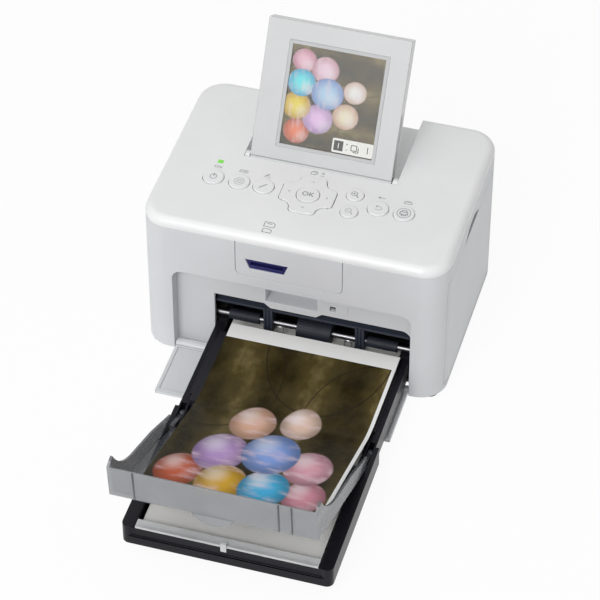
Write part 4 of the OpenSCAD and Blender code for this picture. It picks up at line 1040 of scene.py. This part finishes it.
class PRINTER_OT_keys(bpy.types.Operator):
    """Round keys and the cross-shaped pad, each with its sign"""

    bl_idname = "printer.keys"
    bl_label = "Keys"

    # The row's middle behind the case's front face, and a sign's height over its key
    ROW = 42.0
    LIFT = 0.04
    BUTTONS = ("power", "menu", "edit", "zoom_in", "zoom_out", "back", "print")
    # The tip, length and half width of the pad's arrows
    TIP = 11.6
    HEAD = 1.1
    HALF = 0.9

    def on(self, node, x, y):
        """A place on a key's top."""
        spot = at(x, y, 0)
        spot.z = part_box(node)[1].z + self.LIFT * MM
        return spot

    def execute(self, context):
        for name in self.BUTTONS:
            dressed(name + "_key", name + "_button", 0.45)
        dressed("ok_key", "ok_button", 0.4)
        dressed("nav_pad", "pad_cross", 0.4)
        ink = printed_ink("sign_grey", tuple(context.scene.printer_case.ink))
        faint = printed_ink("sign_pale", (0.42, 0.43, 0.44))
        row = self.ROW

        power = Sign("power_sign", self.on("power_key", -57.8, row))
        power.ring(0, -0.2, 1.9)
        power.bar(0, 0.2, 0, 2.6, 0.45)
        power.done("power_key", "key_white", ink)

        menu = Sign("menu_sign", self.on("menu_key", -42.5, row))
        for v in (-1.3, 0, 1.3):
            menu.bar(-1.9, v, 1.9, v)
        menu.ring(0, 0, 2.9, 0.3)
        menu.done("menu_key", "key_white", faint)

        edit = Sign("edit_sign", self.on("edit_key", -28.1, row))
        edit.path((-1.9, -1.9), (1.6, 1.6), width=0.8)
        edit.path((-2.4, -2.4), (-1.4, -2.0), width=0.3)
        edit.done("edit_key", "key_white", faint)

        okay = Sign("ok_sign", self.on("ok_key", -2.0, row))
        okay.words("OK", 0, 0, 4.8)
        okay.done("ok_key", "key_white", ink)

        zooms = (("zoom_in", 23.5, row + 7.5, True), ("zoom_out", 23.9, row - 7, False))
        for name, x, y, plus in zooms:
            glass = Sign(name + "_sign", self.on(name + "_key", x, y))
            glass.ring(-0.5, 0.5, 1.7)
            glass.bar(0.8, -0.8, 2.3, -2.3, 0.5)
            glass.bar(-1.3, 0.5, 0.3, 0.5, 0.3)
            if plus:
                glass.bar(-0.5, -0.3, -0.5, 1.3, 0.3)
            glass.done(name + "_key", "key_white", ink if plus else faint)

        back = Sign("back_sign", self.on("back_key", 38.8, row))
        back.path((-1.4, 1.3), (1.2, 1.3), (2.1, 0.5), (2.1, -0.6), (1.2, -1.4), (-1.6, -1.4))
        back.path((-0.5, 2.2), (-1.6, 1.3), (-0.5, 0.4))
        back.done("back_key", "key_white", faint)

        copy = Sign("print_sign", self.on("print_key", 53.8, row))
        copy.path((-2.2, -1.3), (-2.2, 0.8), (2.2, 0.8), (2.2, -1.3), (-2.2, -1.3), width=0.4)
        copy.path((-1.3, 0.8), (-1.3, 2.2), (1.3, 2.2), (1.3, 0.8))
        copy.path((-1.2, -0.7), (-1.2, -2.2), (1.2, -2.2), (1.2, -0.7))
        copy.ring(0, 0, 3.9, 0.3)
        copy.done("print_key", "key_white", ink)

        pad = Sign("pad_arrows", self.on("nav_pad", -2.0, row))
        foot = self.TIP - self.HEAD
        for u, v in ((1, 0), (-1, 0), (0, 1), (0, -1)):
            pad.path(
                (foot * u + self.HALF * v, foot * v + self.HALF * u),
                (self.TIP * u, self.TIP * v),
                (foot * u - self.HALF * v, foot * v - self.HALF * u),
                width=0.28,
            )
        pad.done("nav_pad", "key_white", faint)
        return {"FINISHED"}


class PRINTER_OT_signs(bpy.types.Operator):
    """Small signs printed on the cover over the keys and over the card slot"""

    bl_idname = "printer.signs"
    bl_label = "Signs"

    TOP = 100.0

    def execute(self, context):
        ink = printed_ink("sign_cover", tuple(context.scene.printer_case.ink))
        top = self.TOP
        lit = Sign("on_sign", at(-57.8, 51.2, top))
        lit.words("ON", 0, 0, 3.0)
        lit.done("case", "cover_white", ink)

        row = Sign("row_signs", at(0, 51.4, top))
        for v in (-0.7, 0.2, 1.1):
            row.bar(-45.3, v, -39.9, v, 0.3)
        row.path((-30.6, -0.8), (-26.6, -0.8), width=0.3)
        row.path((-29.8, 0.1), (-27.6, 1.5), width=0.6)
        row.path((36.6, 0.3), (40.8, 0.3), width=0.3)
        row.path((37.8, 1.2), (36.6, 0.3), (37.8, -0.6), width=0.3)
        row.path((51.6, -0.6), (51.6, 0.9), (56.0, 0.9), (56.0, -0.6), (51.6, -0.6), width=0.3)
        row.path((52.6, 0.9), (52.6, 1.7), (55.0, 1.7), (55.0, 0.9), width=0.3)
        row.done("case", "cover_white", ink)

        copies = Sign("copies_sign", at(-2.0, 61.2, top))
        copies.path((-3.6, -1.1), (-0.9, -1.1), (-0.9, 1.0), (-3.6, 1.0), (-3.6, -1.1), width=0.3)
        copies.path((-2.7, 1.0), (-2.7, 1.7), (0, 1.7), (0, -0.4), (-0.9, -0.4), width=0.3)
        copies.bar(2.2, 1.0, 4.2, 1.0, 0.3)
        copies.bar(3.2, 0.0, 3.2, 2.0, 0.3)
        copies.bar(2.2, -1.2, 4.2, -1.2, 0.3)
        copies.done("case", "cover_white", ink)

        card = Sign("card_sign", at(-15.5, 9.6, top))
        upper = (-3.0, 0.8), (-3.0, 4.6), (1.9, 4.6), (3.0, 3.5), (3.0, 0.8), (-3.0, 0.8)
        card.path(*upper, width=0.4)
        card.path((-1.6, 3.4), (1.4, 3.4), width=0.4)
        lower = (-2.6, -3.9), (-2.6, -0.9), (1.4, -0.9), (2.4, -1.9), (2.4, -3.9), (-2.6, -3.9)
        card.path(*lower, width=0.4)
        card.done("case", "cover_white", ink)
        return {"FINISHED"}


class PRINTER_OT_cassette(bpy.types.Operator):
    """Paper cassette, its lid and its clear front strip"""

    bl_idname = "printer.cassette"
    bl_label = "Cassette"

    def execute(self, context):
        dressed("cassette_tray", "cassette_body", 0.3)
        dressed("cassette_lid", "cassette_cover", 0.3)
        dressed("cassette_strip", "clear_strip", 0.2)
        return {"FINISHED"}


class PRINTER_OT_output_tray(bpy.types.Operator):
    """Smoked output tray with the three thin ribs on its lip, the ribs painted dark as shade"""

    bl_idname = "printer.output_tray"
    bl_label = "Output tray"

    HINGE = at(10.0, -64.0, 15.0)
    TILT = math.radians(24.3)
    # The lip's foot and top, rearward from the hinge and up from the floor of the tray
    LIP_FOOT = (-119.6, -1.3)
    LIP_TOP = (-130.6, 18.4)
    RIB_PLACES = (-42.9, 35.8, 42.9)
    RIB_WIDTH = 0.0008
    RIB_DEPTH = 0.0009
    RIB_SHARE = 0.985
    RIB_EDGE = 0.00015
    RIB_TURN = math.radians(40)

    def place(self, x, s, h):
        """A place on the raised tray from its own sideways, rearward and upward millimetres."""
        level, steep = math.cos(self.TILT), math.sin(self.TILT)
        return self.HINGE + Vector((x, s * level + h * steep, h * level - s * steep)) * MM

    def execute(self, context):
        dressed("output_tray", "smoked_tray", 0.3)
        ribs = []
        for x in self.RIB_PLACES:
            foot, top = self.place(x, *self.LIP_FOOT), self.place(x, *self.LIP_TOP)
            rise = top - foot
            bpy.ops.mesh.primitive_cube_add(
                size=1,
                location=(foot + top) / 2,
                rotation=(math.atan2(-rise.y, rise.z), 0, 0),
                scale=(self.RIB_WIDTH, self.RIB_DEPTH, rise.length * self.RIB_SHARE),
            )
            ribs.append(context.object)
        only(*ribs)
        bpy.ops.object.join()
        ribs = context.object
        ribs.name = "lip_ribs"
        only(ribs)
        bpy.ops.object.transform_apply(location=True, rotation=True, scale=True)
        modify(
            ribs,
            "BEVEL",
            width=self.RIB_EDGE,
            segments=2,
            limit_method="ANGLE",
            angle_limit=self.RIB_TURN,
        )
        smooth(ribs)
        # Painted shade: the ribs' dark colour stands in for the dark lines of shade that they make
        # on the pale lip
        paint(ribs, moulded("lip_rib", (0.09, 0.095, 0.105), 0.3, 1500.0, 0.2, 0.06))
        carry(ribs, "output_tray", "tray_smoke")
        return {"FINISHED"}


class PRINTER_OT_print(bpy.types.Operator):
    """Finished print, lying on the cassette and curving up into the tray"""

    bl_idname = "printer.print"
    bl_label = "Print"

    # In millimetres: the sheet's far edge, height and middle, its flat size, and its bend
    FAR_Y = 5.0
    HEIGHT = 24.82
    MIDDLE_X = 13.5
    WIDTH = 100.0
    LENGTH = 173.0
    BEND_START = 53.0
    BEND_LENGTH = 20.0
    THICKNESS = 0.4
    COLUMNS = 12
    ROWS = 120

    def lie(self, along, rise):
        """Depth and height of the sheet at a distance from its far edge."""
        radius = self.BEND_LENGTH / rise
        turned = min(max((along - self.BEND_START) / radius, 0.0), rise)
        after = max(along - self.BEND_START - self.BEND_LENGTH, 0.0)
        flat = min(along, self.BEND_START)
        depth = self.FAR_Y - flat - radius * math.sin(turned) - after * math.cos(rise)
        return depth, self.HEIGHT + radius * (1 - math.cos(turned)) + after * math.sin(rise)

    def execute(self, context):
        settings = context.scene.printer_print
        bpy.ops.mesh.primitive_grid_add(
            x_subdivisions=self.COLUMNS, y_subdivisions=self.ROWS, size=1
        )
        sheet = context.object
        sheet.name = "finished_print"
        for vertex in sheet.data.vertices:
            depth, height = self.lie((0.5 - vertex.co.y) * self.LENGTH, settings.rise)
            vertex.co = at(self.MIDDLE_X + vertex.co.x * self.WIDTH, depth, height)
        modify(
            sheet,
            "SOLIDIFY",
            thickness=self.THICKNESS * MM,
            offset=1,
            material_offset=1,
            material_offset_rim=1,
        )
        smooth(sheet)
        strip = settings.strip / MM / self.LENGTH
        margin = settings.margin / MM / self.WIDTH
        paint(sheet, glossy_print("print_face", strip, margin))
        sheet.data.materials.append(finish_of("print_gloss"))
        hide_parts("printed_photo")
        tuple(at(self.MIDDLE_X, -50.0, self.HEIGHT))
        tuple(at(self.MIDDLE_X, -80.0, self.HEIGHT))
        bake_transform(sheet)
        return {"FINISHED"}


class PRINTER_OT_finishes(bpy.types.Operator):
    """Finishes of every node that is still shown as it is"""

    bl_idname = "printer.finishes"
    bl_label = "Finishes"

    def execute(self, context):
        for node, piece in frame["nodes"].items():
            if not piece.hide_render:
                paint(piece, finish_of(SLOT_OF[node]))
        return {"FINISHED"}


class PRINTER_PT_panel(bpy.types.Panel):
    """Shows the printer's settings and its operators in the sidebar"""

    bl_label = "Photo printer"
    bl_idname = "PRINTER_PT_panel"
    bl_space_type = "VIEW_3D"
    bl_region_type = "UI"
    bl_category = "Photo printer"

    def draw(self, context):
        scene = context.scene
        for title, group in (
            ("Stage", scene.printer_stage),
            ("Case", scene.printer_case),
            ("Display", scene.printer_display),
            ("Print", scene.printer_print),
            ("Output tray", scene.printer_tray),
        ):
            box = self.layout.box()
            box.label(text=title)
            for name in group.bl_rna.properties.keys():
                if name not in {"rna_type", "name"}:
                    box.prop(group, name)
        for operator in OPERATORS:
            self.layout.operator(operator.bl_idname)


GROUPS = {
    "printer_stage": StageSettings,
    "printer_case": CaseSettings,
    "printer_display": DisplaySettings,
    "printer_print": PrintSettings,
    "printer_tray": TraySettings,
}
OPERATORS = (
    PRINTER_OT_stage,
    PRINTER_OT_case,
    PRINTER_OT_doors,
    PRINTER_OT_display,
    PRINTER_OT_keys,
    PRINTER_OT_signs,
    PRINTER_OT_cassette,
    PRINTER_OT_output_tray,
    PRINTER_OT_print,
    PRINTER_OT_finishes,
)


def register():
    for kind in (*GROUPS.values(), *OPERATORS, PRINTER_PT_panel):
        bpy.utils.register_class(kind)
    for name, group in GROUPS.items():
        setattr(bpy.types.Scene, name, PointerProperty(type=group))


def unregister():
    for name in GROUPS:
        delattr(bpy.types.Scene, name)
    for kind in (PRINTER_PT_panel, *reversed(OPERATORS), *reversed(GROUPS.values())):
        bpy.utils.unregister_class(kind)


def main():
    register()
    for operator in OPERATORS:
        run = getattr(bpy.ops.printer, operator.bl_idname.split(".")[1])
        if run() != {"FINISHED"}:
            raise RuntimeError(f"{operator.bl_label} did not finish")


if __name__ == "__main__":
    main()
